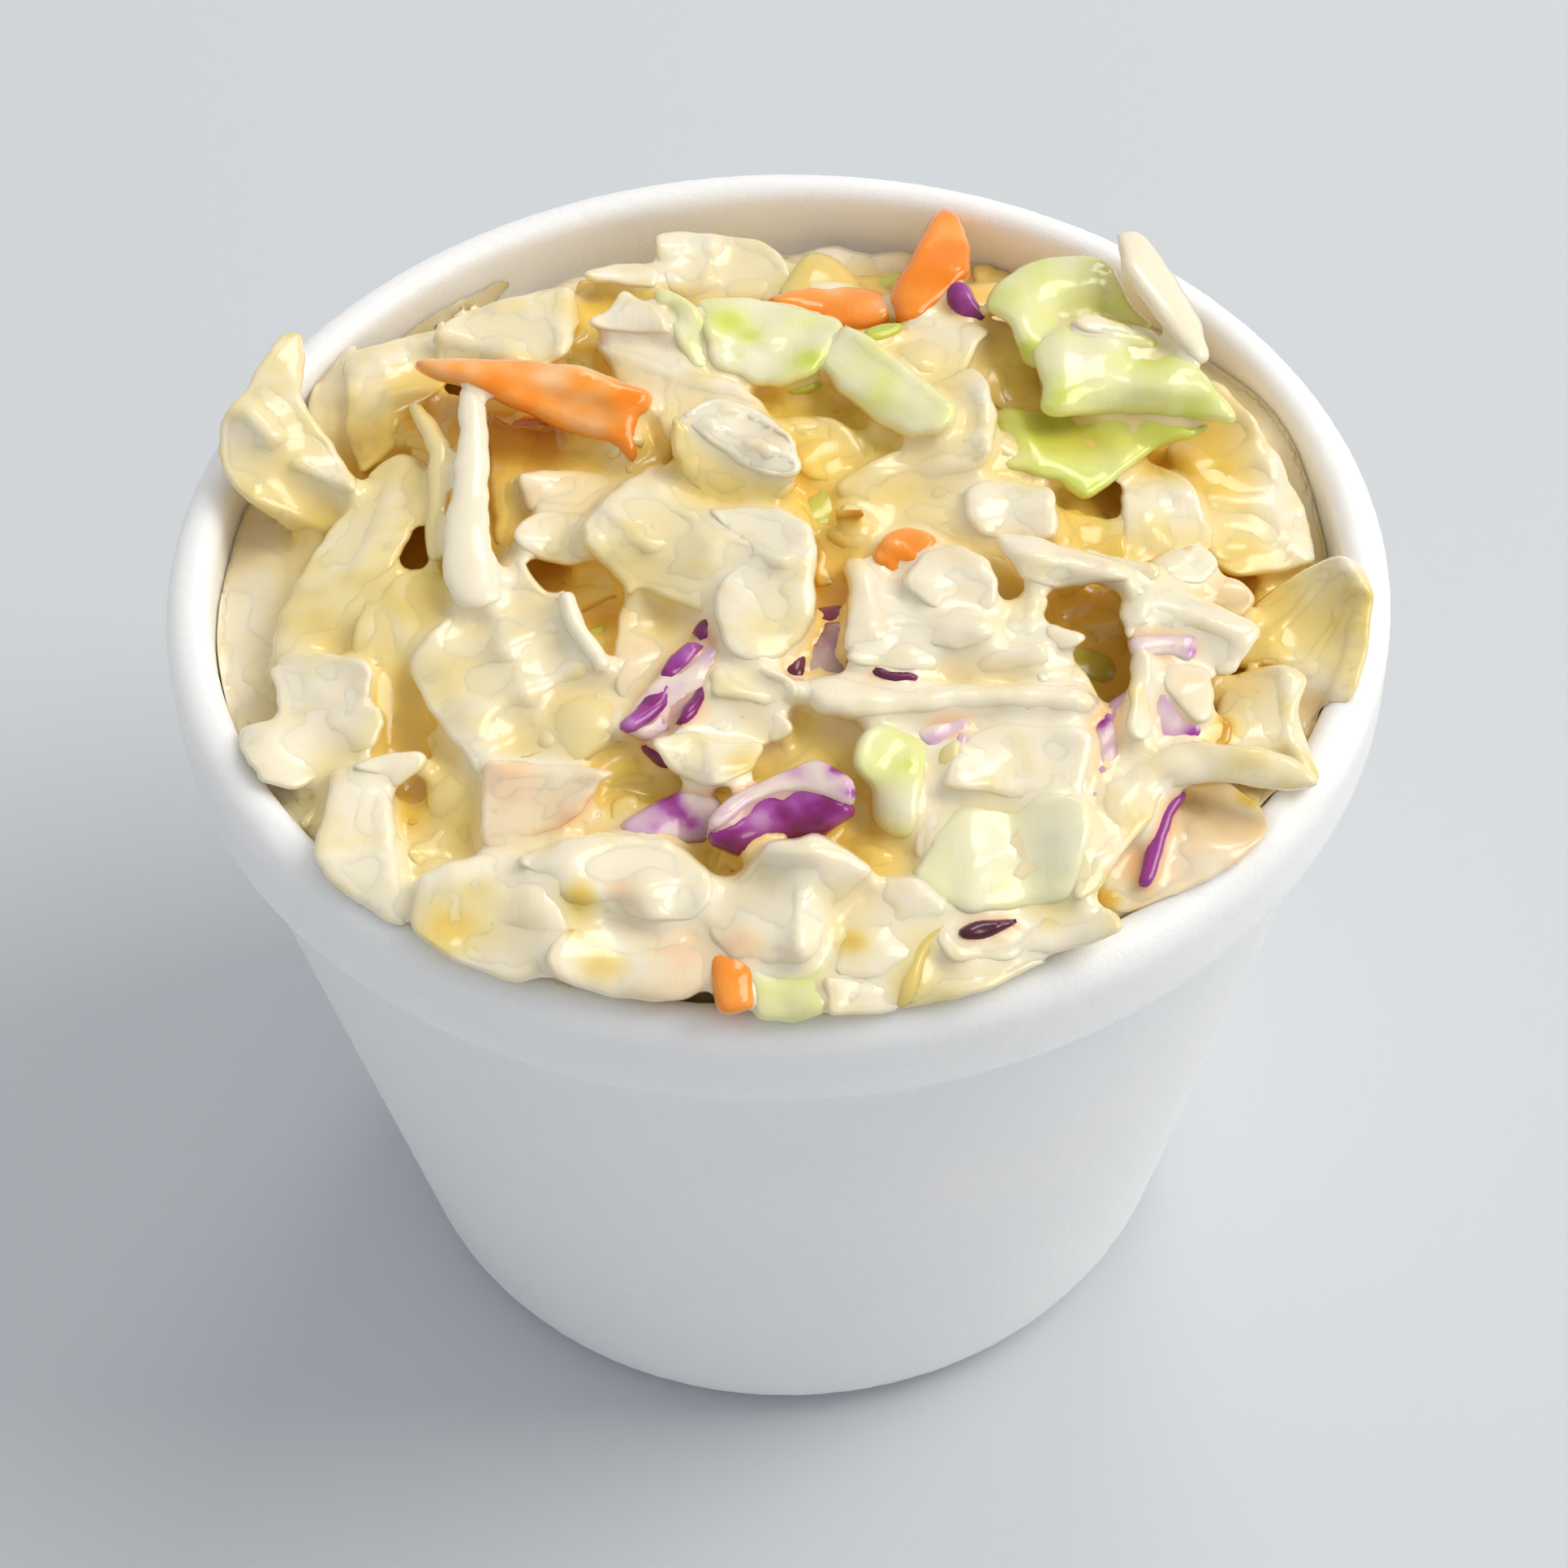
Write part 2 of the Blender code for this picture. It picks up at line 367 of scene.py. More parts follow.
def cut_strip(pile, line, wide, thick=1.1, crown=0.5, bank=0.0, crinkle=0.3, crinkle_size=7.0, veins=0, vein_depth=0.06,
              square=9.0, end=0.7, slant=0.0, ragged=0.12, sharp=6.0, fold=0.0, tint=0.3, seed=0, seen=True, fine=1.0):
    """Add a closed strip to a pile. Lengths are in mm, bank is in degrees, and the tone value is 0 for white to 1 for
    yellow; higher values paint golden and brown shade.
    """
    line = np.array(line, float)
    length = np.hypot(*np.diff(line[:, :2], axis=0).T).sum()
    rows = int(np.clip(fine * length * 2.6, 14, 56))
    columns = int(np.clip(fine * max(wide) * 5.5, 9, 34))
    along, across = crowd_ends(rows), crowd_ends(columns)
    share = (along + 1) / 2
    centre = smooth_line(line, share)
    step = np.gradient(centre[:, :2], axis=0)
    step /= np.linalg.norm(step, axis=1)[:, None] + 1e-9
    side = np.stack([-step[:, 1], step[:, 0]], 1)
    half = smooth_line(np.array(wide, float)[:, None], share)[:, 0]
    corner = np.maximum(1 - np.abs(along) ** square, 0) ** (1 / square)
    half = np.maximum(half, 0.15) * np.maximum(corner, end)
    number = pile.count + 100 * seed
    path = share * length
    left = half + ragged * waves(path, 0 * path, 2.6, 11 + number)
    right = half + ragged * waves(path, 0 * path, 2.6, 57 + number)
    reach = np.where(across[None] > 0, left[:, None], right[:, None]) * across[None]
    rake = slant * across[None] + ragged * 1.5 * waves(half[:, None] * across[None], 0 * along[:, None], 3.0, 91 + number)
    x = centre[:, None, 0] + side[:, None, 0] * reach + step[:, None, 0] * rake
    y = centre[:, None, 1] + side[:, None, 1] * reach + step[:, None, 1] * rake
    z = centre[:, None, 2] + reach * math.tan(math.radians(bank)) + crown * (1 - across[None] ** 2)
    z = z + fold * (1 - np.abs(across[None])) + crinkle * waves(x, y, crinkle_size, 7 + number)
    if veins:
        z = z + vein_depth * np.cos(math.pi * veins * across[None] + 0.6 * waves(path, 0 * path, 9.0, 3)[:, None])
    if seen:
        y = y - SIGHT_SLIDE * (z - SIGHT_PLANE)
    sheet = np.stack([x, y, z], 2)
    normal = np.cross(np.gradient(sheet, axis=0), np.gradient(sheet, axis=1))
    normal /= np.linalg.norm(normal, axis=2)[..., None] + 1e-9
    normal *= np.where(normal[..., 2:].mean() < 0, -1.0, 1.0)
    body = np.sqrt(np.maximum(1 - np.abs(across[None]) ** sharp, 0)) * np.sqrt(np.maximum(1 - np.abs(along[:, None]) ** 14, 0))
    offset = normal * (body * thick / 2)[..., None]
    add_slab(pile, sheet + offset, sheet - offset, path, half, across, number, tint)

def add_slab(pile, top, bottom, path, half, across, number, tint):
    """Join a top grid and a bottom grid that share their border into one closed body in the pile."""
    rows, columns = top.shape[:2]
    start = sum(len(p) for p in pile.points)
    upper = np.arange(rows * columns).reshape(rows, columns)
    lower = upper.copy()
    inner = (rows - 2) * (columns - 2)
    lower[1:-1, 1:-1] = rows * columns + np.arange(inner).reshape(rows - 2, columns - 2)
    quads = lambda grid: np.stack([grid[:-1, :-1], grid[1:, :-1], grid[1:, 1:], grid[:-1, 1:]], 2).reshape(-1, 4)
    faces = np.vstack([quads(upper), quads(lower)[:, ::-1]]) + start
    a, b, d = top[rows // 2, columns // 2], top[rows // 2 + 1, columns // 2], top[rows // 2, columns // 2 + 1]
    if np.dot(np.cross(b - a, d - a), top[rows // 2, columns // 2] - bottom[rows // 2, columns // 2]) < 0:
        faces = faces[:, ::-1]
    pile.points += [top.reshape(-1, 3), bottom[1:-1, 1:-1].reshape(-1, 3)]
    pile.faces.append(faces)
    grain = np.stack(np.broadcast_arrays(path[:, None], half[:, None] * across[None], np.full_like(top[..., 0], number % 97)), 2)
    pile.grain += [grain.reshape(-1, 3), grain[1:-1, 1:-1].reshape(-1, 3)]
    pile.tint.append(np.full(rows * columns + inner, tint))
    pile.count += 1

# %% [markdown]
# A leaf that is torn or chopped across has corners, so its outline can't be told by a few widths. A second function
# fills any outline: rows of points hug its edge, a loose grid fills the rest, and a Delaunay triangulation joins them.
# The height is a leaning plane with a soft crown, folds and crinkles, and the edge rounds off into an underside.

# %% Outlines
EDGE_STEP = 0.5
GRID_STEP = 0.62
EDGE_ROWS = (0.1, 0.25, 0.5)

def even_outline(corners, rounding, ragged, seed):
    """Points at even steps round a closed outline with rounded corners and a slightly ragged cut, and its normals."""
    ring = np.array(list(corners) + [corners[0]], float)
    run = np.append(0, np.cumsum(np.hypot(*np.diff(ring, axis=0).T)))
    count = max(16, int(run[-1] / EDGE_STEP))
    at = np.linspace(0, run[-1], count, endpoint=False)
    even = np.stack([np.interp(at, run, ring[:, k]) for k in (0, 1)], 1)
    reach = int(round(rounding / EDGE_STEP))
    for _ in range(2):
        even = sum(np.roll(even, k, 0) for k in range(-reach, reach + 1)) / (2 * reach + 1)
    step = np.roll(even, -1, 0) - np.roll(even, 1, 0)
    normal = np.stack([step[:, 1], -step[:, 0]], 1) / (np.hypot(*step.T)[:, None] + 1e-9)
    area = np.sum(even[:, 0] * np.roll(even[:, 1], -1) - even[:, 1] * np.roll(even[:, 0], -1))
    normal *= np.sign(area)
    even = even + normal * (ragged * waves(even[:, 0], even[:, 1], 2.2, seed))[:, None]
    return even, normal

def edge_distances(points, outline):
    """Distance of points from an outline: the nearest, and a softened one without creases. Negative lies outside."""
    ends = np.roll(outline, -1, 0)
    along = ends - outline
    to_start = points[:, None] - outline[None]
    share = np.clip((to_start * along).sum(2) / (along ** 2).sum(1), 0, 1)
    gap = np.hypot(*np.moveaxis(to_start - share[..., None] * along, 2, 0))
    rising = (outline[:, 1] <= points[:, 1:]) != (ends[:, 1] <= points[:, 1:])
    cross_x = outline[:, 0] + (points[:, 1:] - outline[:, 1]) * along[:, 0] / np.where(along[:, 1] == 0, 1e-9, along[:, 1])
    inside = (rising & (points[:, :1] < cross_x)).sum(1) % 2 == 1
    far = np.maximum(np.hypot(*np.moveaxis(to_start, 2, 0)), 0.05)
    soft = (EDGE_STEP * (far ** -4.0).sum(1)) ** (-1 / 3) / 0.86
    return np.where(inside, gap.min(1), -gap.min(1)), soft

def fill_outline(outline, normal):
    """Triangles that fill an outline: its points come first, then rows along the edge, then a staggered grid."""
    low, high = outline.min(0), outline.max(0)
    grid_x, grid_y = np.meshgrid(np.arange(low[0], high[0], GRID_STEP), np.arange(low[1], high[1], GRID_STEP * 0.87))
    grid_x = grid_x + GRID_STEP / 2 * (np.arange(len(grid_x)) % 2)[:, None]
    grid = np.stack([grid_x.ravel(), grid_y.ravel()], 1)
    inner = [grid[edge_distances(grid, outline)[0] > EDGE_ROWS[-1] + 0.3]]
    for depth in EDGE_ROWS:
        row = outline - normal * depth
        inner.append(row[edge_distances(row, outline)[0] > depth * 0.9])
    points = np.vstack([outline] + inner)
    border = list(range(len(outline)))
    result = delaunay_2d_cdt([Vector(p) for p in points.tolist()], [], [border], 1, 1e-5)
    return np.array([tuple(p) for p in result[0]]), [tuple(face) for face in result[2]]

# %% One cut sheet
SHEET_TIP = np.array([0.12, 0.09])
SHEET_BELLY = 0.9

def cut_sheet(pile, corners, z, lean=(0.0, 0.0), thick=0.9, crown=0.5, crinkle=0.25, crinkle_size=6.0, edge=0.4,
              ragged=0.1, rounding=0.3, crease=0.16, folds=(), stains=(), along=90.0, tint=0.3, seed=0):
    """Add a closed sheet to a pile: corners as the eye meets them, the height of its middle, and how it leans.

    A fold is (x, y, x, y, height, width) and a stain is (x, y, radius, tone); stains below 0 are real stains, and
    golden and brown ones paint shade."""
    number = pile.count + 100 * seed
    outline, normal = even_outline(corners, rounding, ragged, 13 + number)
    points, triangles = fill_outline(outline, normal)
    x, y = points.T
    distance, soft = edge_distances(points, outline)
    distance = np.where(distance < 1e-3, 0, distance)
    centre = outline.mean(0)
    tip = np.random.default_rng(number).uniform(-1, 1, 2) * SHEET_TIP
    top = z + (lean[0] + tip[0]) * (x - centre[0]) + (lean[1] + tip[1]) * (y - centre[1])
    for k in range(2):
        turn = tip[0] * 4 + tip[1] * 5 + 1.9 * k
        across = (x - centre[0]) * math.cos(turn) + (y - centre[1]) * math.sin(turn) - tip[k] * 10
        top = top + (crease, -crease)[k] * (np.sqrt(across ** 2 + 0.06) - 1.5)
    top = top + 0.4 * crown * soft / (soft + 0.8) + crinkle * waves(x, y, crinkle_size, 7 + number)
    top = top + 0.05 * waves(x, y, 2.6, 31 + number)
    for x0, y0, x1, y1, height, width in folds:
        share = np.clip(((x - x0) * (x1 - x0) + (y - y0) * (y1 - y0)) / ((x1 - x0) ** 2 + (y1 - y0) ** 2), 0, 1)
        off = np.hypot(x - x0 - share * (x1 - x0), y - y0 - share * (y1 - y0))
        top = top + height * np.exp(-(off / width) ** 1.5)
    shade = tint + 0.22 * waves(x, y, 5.0, 51 + number) + 0.12 * waves(x, y, 1.8, 71 + number)
    for spot_x, spot_y, radius, colour in stains:
        weight = np.exp(-(((x - spot_x) ** 2 + (y - spot_y) ** 2) / radius ** 2))
        shade = shade + (colour - shade) * weight
    body = np.sqrt(1 - (1 - np.minimum(distance / edge, 1)) ** 2)
    middle = top - thick / 2
    rim = distance <= 0
    count = len(x)
    under = np.where(rim, np.arange(count), count + np.cumsum(~rim) - 1)

    def placed(height):
        return np.stack([x, y - SIGHT_SLIDE * (height - SIGHT_PLANE), height], 1)

    belly = SHEET_BELLY * np.minimum(soft, 3.5)
    upper, lower = placed(middle + body * thick / 2), placed(middle - body * thick / 2 - belly)[~rim]
    turn = math.radians(along)
    grain = np.stack([x * math.cos(turn) + y * math.sin(turn), y * math.cos(turn) - x * math.sin(turn),
                      np.full(count, number % 97)], 1)
    start = sum(len(p) for p in pile.points)
    faces = np.array(triangles)
    a, b, c = (points[faces[:, k]] for k in range(3))
    turned_up = ((b - a)[:, 0] * (c - a)[:, 1] - (b - a)[:, 1] * (c - a)[:, 0]) > 0
    faces = np.where(turned_up[:, None], faces, faces[:, ::-1])
    below = under[faces[:, ::-1]]
    both = np.vstack([faces, below])
    pile.points += [upper, lower]
    pile.faces.append(np.column_stack([both, both[:, 2]]) + start)
    pile.grain += [grain, grain[~rim]]
    pile.tint += [shade, shade[~rim]]
    pile.count += 1

def pile_mesh(pile, name):
    """Turn a pile into an object whose points carry their grain place and their tone value, which also carries painted
    shade.
    """
    mesh = bpy.data.meshes.new(name)
    points = np.vstack(pile.points) * MM + (0, 0, RIM_Z * MM)
    faces = [face[:3] if face[2] == face[3] else face for face in np.vstack(pile.faces).tolist()]
    mesh.from_pydata(points.tolist(), [], faces)
    mesh.attributes.new("grain", "FLOAT_VECTOR", "POINT").data.foreach_set("vector", np.vstack(pile.grain).ravel())
    mesh.attributes.new("tint", "FLOAT", "POINT").data.foreach_set("value", np.concatenate(pile.tint))
    mesh.shade_smooth()
    piece = bpy.data.objects.new(name, mesh)
    bpy.context.scene.collection.objects.link(piece)
    return piece
# %% Kinds of pieces
PILES = {name: Pile() for name in ("white_cabbage_leaves", "white_cabbage_ribs", "green_cabbage_leaves", "carrot_pieces",
                                   "red_cabbage_pieces")}
KINDS = {
    "leaf": ("white_cabbage_leaves", {"thick": 0.9}),
    "rib": ("white_cabbage_ribs", {"thick": 2.6, "edge": 0.5, "crown": 0.3, "crinkle": 0.12}),
    "green": ("green_cabbage_leaves", {"thick": 0.8, "crinkle": 0.35}),
    "carrot": ("carrot_pieces", {"thick": 2.0, "edge": 0.5, "crown": 0.4, "crinkle": 0.1}),
    "red": ("red_cabbage_pieces", {"thick": 1.2, "crown": 0.3, "crinkle": 0.1}),
}

def sheet(kind, corners, z, lean=(0.0, 0.0), **more):
    """A piece with a cornered outline."""
    pile, usual = KINDS[kind]
    cut_sheet(PILES[pile], corners, z, lean, **{**usual, **more})

def strip(kind, line, wide, **more):
    """A long ribbon, stick or shred that follows a line."""
    pile, usual = KINDS[kind]
    plain = {key: usual[key] for key in ("thick", "crown", "crinkle") if key in usual}
    cut_strip(PILES[pile], line, wide, **{**plain, **more})

# %% [markdown]
# ### The left side
# Long leaf pieces lean from the wall of the cup towards the middle, and one stands over the lip.

# %% Left side
# In this block, leaves with a tone of 1.2 or more and golden stains are painted shade: golden and brown sheets in the
# shaded gaps, hollows and on the shaded inner wall.
sheet("leaf", [(-36.9, 22.7), (-35.4, 22.7), (-35.1, 20), (-35, 15), (-32.7, 10.5), (-30.9, 6.8), (-30.6, 5.5), (-31.9, 3.3),
               (-32.6, 1.1), (-33.8, 0.6), (-35.7, 2), (-38.1, 4.2), (-40.3, 7), (-41.1, 9.8), (-41, 13), (-40, 15.2),
               (-38.4, 19)], 3.0, (-0.05, 0.36), tint=0.35, crinkle=0.45, along=70,
      folds=[(-38.7, 14, -37, 11.5, 0.9, 1.2), (-35, 8.5, -31, 6, 0.9, 1.0), (-38, 5, -33, 2, 0.7, 1.2)],
      stains=[(-33.5, 2.5, 2.5, 1.0), (-38.5, 6, 2.0, 0.7)])
sheet("leaf", [(-35, 22.5), (-32, 22.5), (-31.5, 18), (-31.8, 12), (-31, 8), (-31.5, 6), (-34, 9), (-35.5, 14), (-35.5, 19)], -1.5,
      (0.1, 0.05), tint=0.05)
sheet("leaf", [(-33, 21), (-30, 22.5), (-27, 24), (-23.5, 24), (-23.5, 20), (-25, 17), (-26.5, 13.5), (-28.5, 10), (-31, 7.5),
               (-32.3, 12), (-32.5, 17)], 0.0, (0.15, 0.0), tint=0.35, crinkle=0.5, crown=0.9,
      folds=[(-29.5, 20, -28.5, 11, 0.6, 1.4)])
sheet("leaf", [(-26, 23), (-24, 25.5), (-20, 27.5), (-17, 28.8), (-15.3, 28.5), (-14.8, 25), (-15.3, 20), (-18, 18), (-22, 17.5),
               (-25.5, 18)], 0.5, (0.1, -0.05), tint=0.3, crinkle=0.6, crown=0.9,
      folds=[(-16, 28, -16, 20, 0.8, 0.9), (-21.5, 26, -20, 20, 0.5, 1.6)])
sheet("leaf", [(-39.5, 4), (-38, 3.8), (-36, 2.5), (-34, 1.5), (-32.5, -1), (-34, -6), (-36, -10.5), (-36.6, -11), (-36.2, -7),
               (-36.6, -3), (-37.6, 0.5)], -2.5, (0.2, 0.05), tint=0.1)
sheet("leaf", [(-38.6, 1.5), (-37, 0), (-36, -3), (-35.8, -7), (-36.3, -11), (-37.3, -13), (-38.5, -9), (-39.2, -4)], -4.5,
      (0.1, 0.0), tint=1.3)
sheet("leaf", [(-29.6, 8.6), (-28, 9.8), (-26.6, 9.2), (-25.4, 7.8), (-25, 6), (-25.5, 3.3), (-26.6, 0.5), (-27.1, -1.6),
               (-27.8, -3.3), (-28.8, -5.4), (-29.5, -7.4), (-30.3, -10.4), (-30.4, -13), (-35.8, -13), (-36.3, -10),
               (-35.8, -7), (-34.5, -3), (-33, 1), (-31, 5)], 1.4, (0.12, 0.1), tint=0.45, crown=1.1, along=65,
      folds=[(-27.5, 8, -31.5, -8, 0.4, 1.2)], stains=[(-33, -8, 3.0, 0.8)])
sheet("leaf", [(-36.4, -11.8), (-33, -10.6), (-30.4, -11), (-28.3, -12.1), (-28.4, -14), (-28.8, -16), (-27.8, -15.7),
               (-27.4, -17.2), (-27.9, -19.7), (-29.8, -21.2), (-31.2, -22.2), (-33, -23.6), (-35, -23.4), (-36.4, -22),
               (-37.4, -19.7), (-37.9, -17.8), (-37, -17.3), (-35, -17), (-35.4, -14)], 1.2, (0.12, 0.02), tint=0.1,
      crinkle=0.3, along=20, stains=[(-31, -21.5, 2.0, 1.2), (-34, -20, 2.5, -0.2)])
sheet("leaf", [(-30, -6), (-28.2, -3), (-25, -2.5), (-22.5, -4.5), (-23, -9), (-23.5, -14), (-23.5, -18), (-25, -20.8),
               (-27.3, -21.3), (-29.5, -20), (-29, -15), (-30.5, -11)], 0.8, (0.02, 0.1), tint=0.9, crown=0.8,
      stains=[(-27.5, -9, 2.0, 0.2), (-24.5, -17, 3.0, 1.2)])
sheet("leaf", [(-24.8, -19.5), (-22.5, -15), (-20.5, -19), (-20, -24), (-20.3, -27.8), (-23, -26.6), (-24.4, -26), (-23.6, -24.3),
               (-23.3, -22.3), (-24, -21.5)], 0.4, (0.1, 0.3), tint=1.25)
sheet("leaf", [(-27, -23.9), (-25.6, -24.9), (-24, -26.1), (-21, -26.9), (-20.6, -28), (-23.6, -27), (-26, -27.3)], -1.0, tint=1.6)
sheet("leaf", [(-25.9, -29.3), (-25.2, -28.6), (-24.5, -28.5), (-24, -28.7), (-23.7, -27.2), (-22.5, -26.8), (-20.4, -27.6),
               (-20.3, -29.5), (-20.6, -32), (-24.2, -32), (-25.2, -30.8)], 0.0, tint=0.55,
      folds=[(-22.3, -28, -21.6, -30, -0.8, 0.4)])
sheet("rib", [(-31.1, -21.8), (-30, -21.4), (-28, -21.5), (-27, -22.2), (-26.8, -24), (-26.5, -26), (-26.2, -28), (-25.8, -31),
              (-24.9, -33.5), (-24.7, -35), (-25.5, -36.5), (-28.6, -34.3), (-30.6, -32), (-31.8, -29.5), (-31.6, -27),
              (-31.1, -24.5)], 1.6, (-0.02, 0.13), tint=0.12, thick=2.0, crown=0.7, along=80)
sheet("leaf", [(-29.8, -21.7), (-27.5, -20.4), (-24.8, -20.2), (-24, -21.2), (-25.4, -22.8), (-26.9, -24), (-27.4, -22.6)], 1.8,
      (0.05, 0.1), tint=0.1)
sheet("green", [(-34.2, -23.8), (-33, -23.6), (-31.5, -24.3), (-32.4, -25.4), (-33.4, -25.2)], -1.2, tint=0.3)
sheet("leaf", [(-32, -24.2), (-30.8, -22.8), (-30.8, -25.5), (-32.6, -27.5), (-33.2, -27), (-32.6, -25.8)], -0.6, tint=0.6)
sheet("leaf", [(-34.5, -23.5), (-31, -22.5), (-30.5, -27), (-31, -30), (-33, -27.5)], -3.2, tint=1.8)
sheet("leaf", [(-21.5, -3.3), (-20.2, -1), (-18.9, -0.3), (-17.9, -2.4), (-17.2, -4.4), (-16, -5.8), (-15, -4.8), (-14.6, -6.5),
               (-13.9, -8.8), (-12.7, -11.6), (-11.8, -13), (-12.6, -14.9), (-11.8, -17.6), (-10.9, -21), (-10.7, -22.2),
               (-11, -22.9), (-13, -23), (-16, -22.6), (-19, -23.5), (-21, -23), (-22, -20.4), (-23.4, -18.3), (-25, -15.3),
               (-26.2, -12), (-24.9, -9.5), (-23, -7)], 2.6, (0.04, 0.03), tint=0.22, crinkle=0.5, crown=1.0, along=75,
      folds=[(-20.5, -5, -19, -11, 0.6, 1.3), (-14.8, -7, -12.2, -13, 0.7, 0.6), (-12.2, -16, -11.2, -21.5, 0.4, 0.6),
             (-18, -13, -16, -20, 0.5, 1.0)],
      stains=[(-17.5, -21, 1.5, 0.9), (-23, -13, 2.5, 0.6)])
strip("leaf", [(-14.9, -5.6, 3.9), (-14.3, -8.5, 3.9), (-13.2, -11, 3.6), (-12.2, -13.2, 3.2)], [0.25, 0.45, 0.5, 0.3], thick=0.9,
      tint=0.0)
sheet("leaf", [(-20.3, -21.3), (-17, -21.5), (-13, -22.2), (-11, -22.8), (-12.3, -23.7), (-12.8, -25.2), (-13.6, -26.4),
               (-15, -28), (-16.5, -28.7), (-17.8, -30), (-19.8, -30.5), (-20.6, -28), (-20.5, -24.5)], 2.4, (0.05, 0.22),
      tint=-0.45, crown=1.0, folds=[(-19, -22.3, -12.5, -23, 0.6, 0.7), (-17.5, -24.5, -15.5, -23.8, 0.4, 0.8)],
      stains=[(-14.2, -27.3, 0.9, -1.7), (-16, -28.6, 0.8, -1.6), (-12.9, -25.4, 0.6, -1.3)])
sheet("leaf", [(-18, -30.5), (-16.8, -28.4), (-14.5, -28), (-13.5, -28.8), (-15, -30.5)], 0.5, tint=1.6)
sheet("leaf", [(-13.4, -26), (-12.6, -25.7), (-12.1, -26), (-12.3, -28.4), (-14.5, -29), (-15.2, -28.2)], 1.4, tint=0.0)
sheet("rib", [(-11.8, -25.2), (-11, -24.6), (-10.1, -24.7), (-9.4, -25.5), (-9.6, -27), (-10.8, -28.2), (-11.9, -27.8),
              (-11.9, -26.3)], 1.8, thick=1.6, tint=0.5)
strip("leaf", [(-12.8, -25, 0.2), (-10.5, -24, 0.3), (-6.8, -23.4, 0.5)], [0.5, 0.8, 0.7], thick=1.4, tint=1.3)
strip("leaf", [(-26.8, 14.5, 2.6), (-25.4, 11.5, 2.8), (-24.5, 9, 2.8), (-24.5, 4.5, 2.6), (-24.5, -2, 2.2)],
      [0.4, 0.6, 0.8, 0.7, 0.7], tint=0.5, thick=0.8, crinkle=0.15)
strip("leaf", [(-22.3, 16, 4.6), (-22, 10, 4.4), (-22, 5, 4.2), (-22.1, 0, 3.8), (-21.6, -4, 3.4), (-20.9, -6.8, 3.0)],
      [0.7, 1.1, 1.3, 1.7, 2.0, 1.6], tint=0.0, thick=1.0, crown=0.4, crinkle=0.12)
sheet("leaf", [(-27.5, 14.5), (-25, 16.5), (-22.8, 15.5), (-22.3, 9), (-22.5, 2), (-22.3, -4), (-24, -5.5), (-25.3, -2.8),
               (-25.6, 3), (-25, 7), (-26, 9.5), (-27.8, 10.5)], 0.8, (0.0, 0.05), tint=1.1, crown=0.4)
sheet("leaf", [(-21.6, 14.5), (-19.5, 12.5), (-16, 12.2), (-12, 11), (-9.8, 9.5), (-9.8, 7), (-12, 5), (-14, 1), (-18.5, -0.5),
               (-20.5, -0.6), (-20.7, 2), (-21.2, 8)], 0.9, (0.02, -0.05), tint=0.6, crown=1.1, crinkle=0.5,
      stains=[(-17.5, 12, 1.6, 1.9), (-15, 9, 2.5, 0.8)])
sheet("leaf", [(-19, 7), (-15, 7.3), (-11.3, 6.6), (-10.6, 5), (-12.6, 3.5), (-13, 2), (-15, 1.8), (-18.4, 3), (-18.6, 5)], 2.5,
      (0.0, 0.15), tint=-0.25, crown=0.7)
sheet("leaf", [(-19.1, 0.5), (-18.5, 1.8), (-17.2, 3), (-15, 2.9), (-13.2, 2.2), (-13.2, -1), (-12.6, -2.2), (-13.5, -2.6),
               (-15, -3), (-16, -2.5), (-17.2, -2.1), (-18.2, -1.6), (-18.6, -0.7)], 3.3, (0.02, 0.1), tint=0.0, crown=0.5)
sheet("leaf", [(-15.5, -4), (-14, -5.5), (-11, -7), (-11.2, -9), (-11.6, -13.5), (-13, -12.5), (-14.6, -9)], 0.3, (-0.1, -0.1),
      tint=1.5)

# %% [markdown]
# ### The middle and the back
# Ribbed chunks and folded leaves stand highest here, over red cabbage and carrot.

# %% Middle and back
# Leaves and green pieces with a tone of 1.2 or more in this block are painted shade: golden, olive and brown sheets in
# shaded gaps.
sheet("rib", [(-7, 11.7), (-6, 13), (-5, 13.8), (-3, 13.7), (-1, 12.5), (0.7, 10.6), (1.5, 9), (2, 6.5), (1.7, 5),
              (0.2, 5), (-2, 6), (-4, 8), (-5.5, 9.9)], 6.4, (0.1, 0.04), thick=1.4, tint=-0.05, crown=0.7, rounding=0.5,
      folds=[(-5.8, 11.5, -4.2, 13, -0.5, 0.35), (-4, 10.2, 0.5, 6, -0.6, 0.35), (-2.5, 11.6, 1, 8.2, -0.6, 0.3),
             (-4.8, 11.2, -0.5, 7.2, 0.6, 0.35), (-3.3, 12.6, 1.2, 9.4, 0.6, 0.3), (-1.5, 6.6, 1, 6, -0.5, 0.3)])
sheet("rib", [(-7.4, 12), (-5.6, 10.4), (-3.8, 8.4), (-1.8, 6.4), (0.2, 5.4), (1.8, 5.4), (1.6, 4.3), (0.5, 3), (0, 1.5),
              (-1, 1.9), (-2.6, 2.2), (-4.5, 3), (-6, 4), (-7, 6.5), (-7.5, 9)], 5.2, (0.1, 0.35), thick=1.8, tint=0.75,
      crown=0.3)
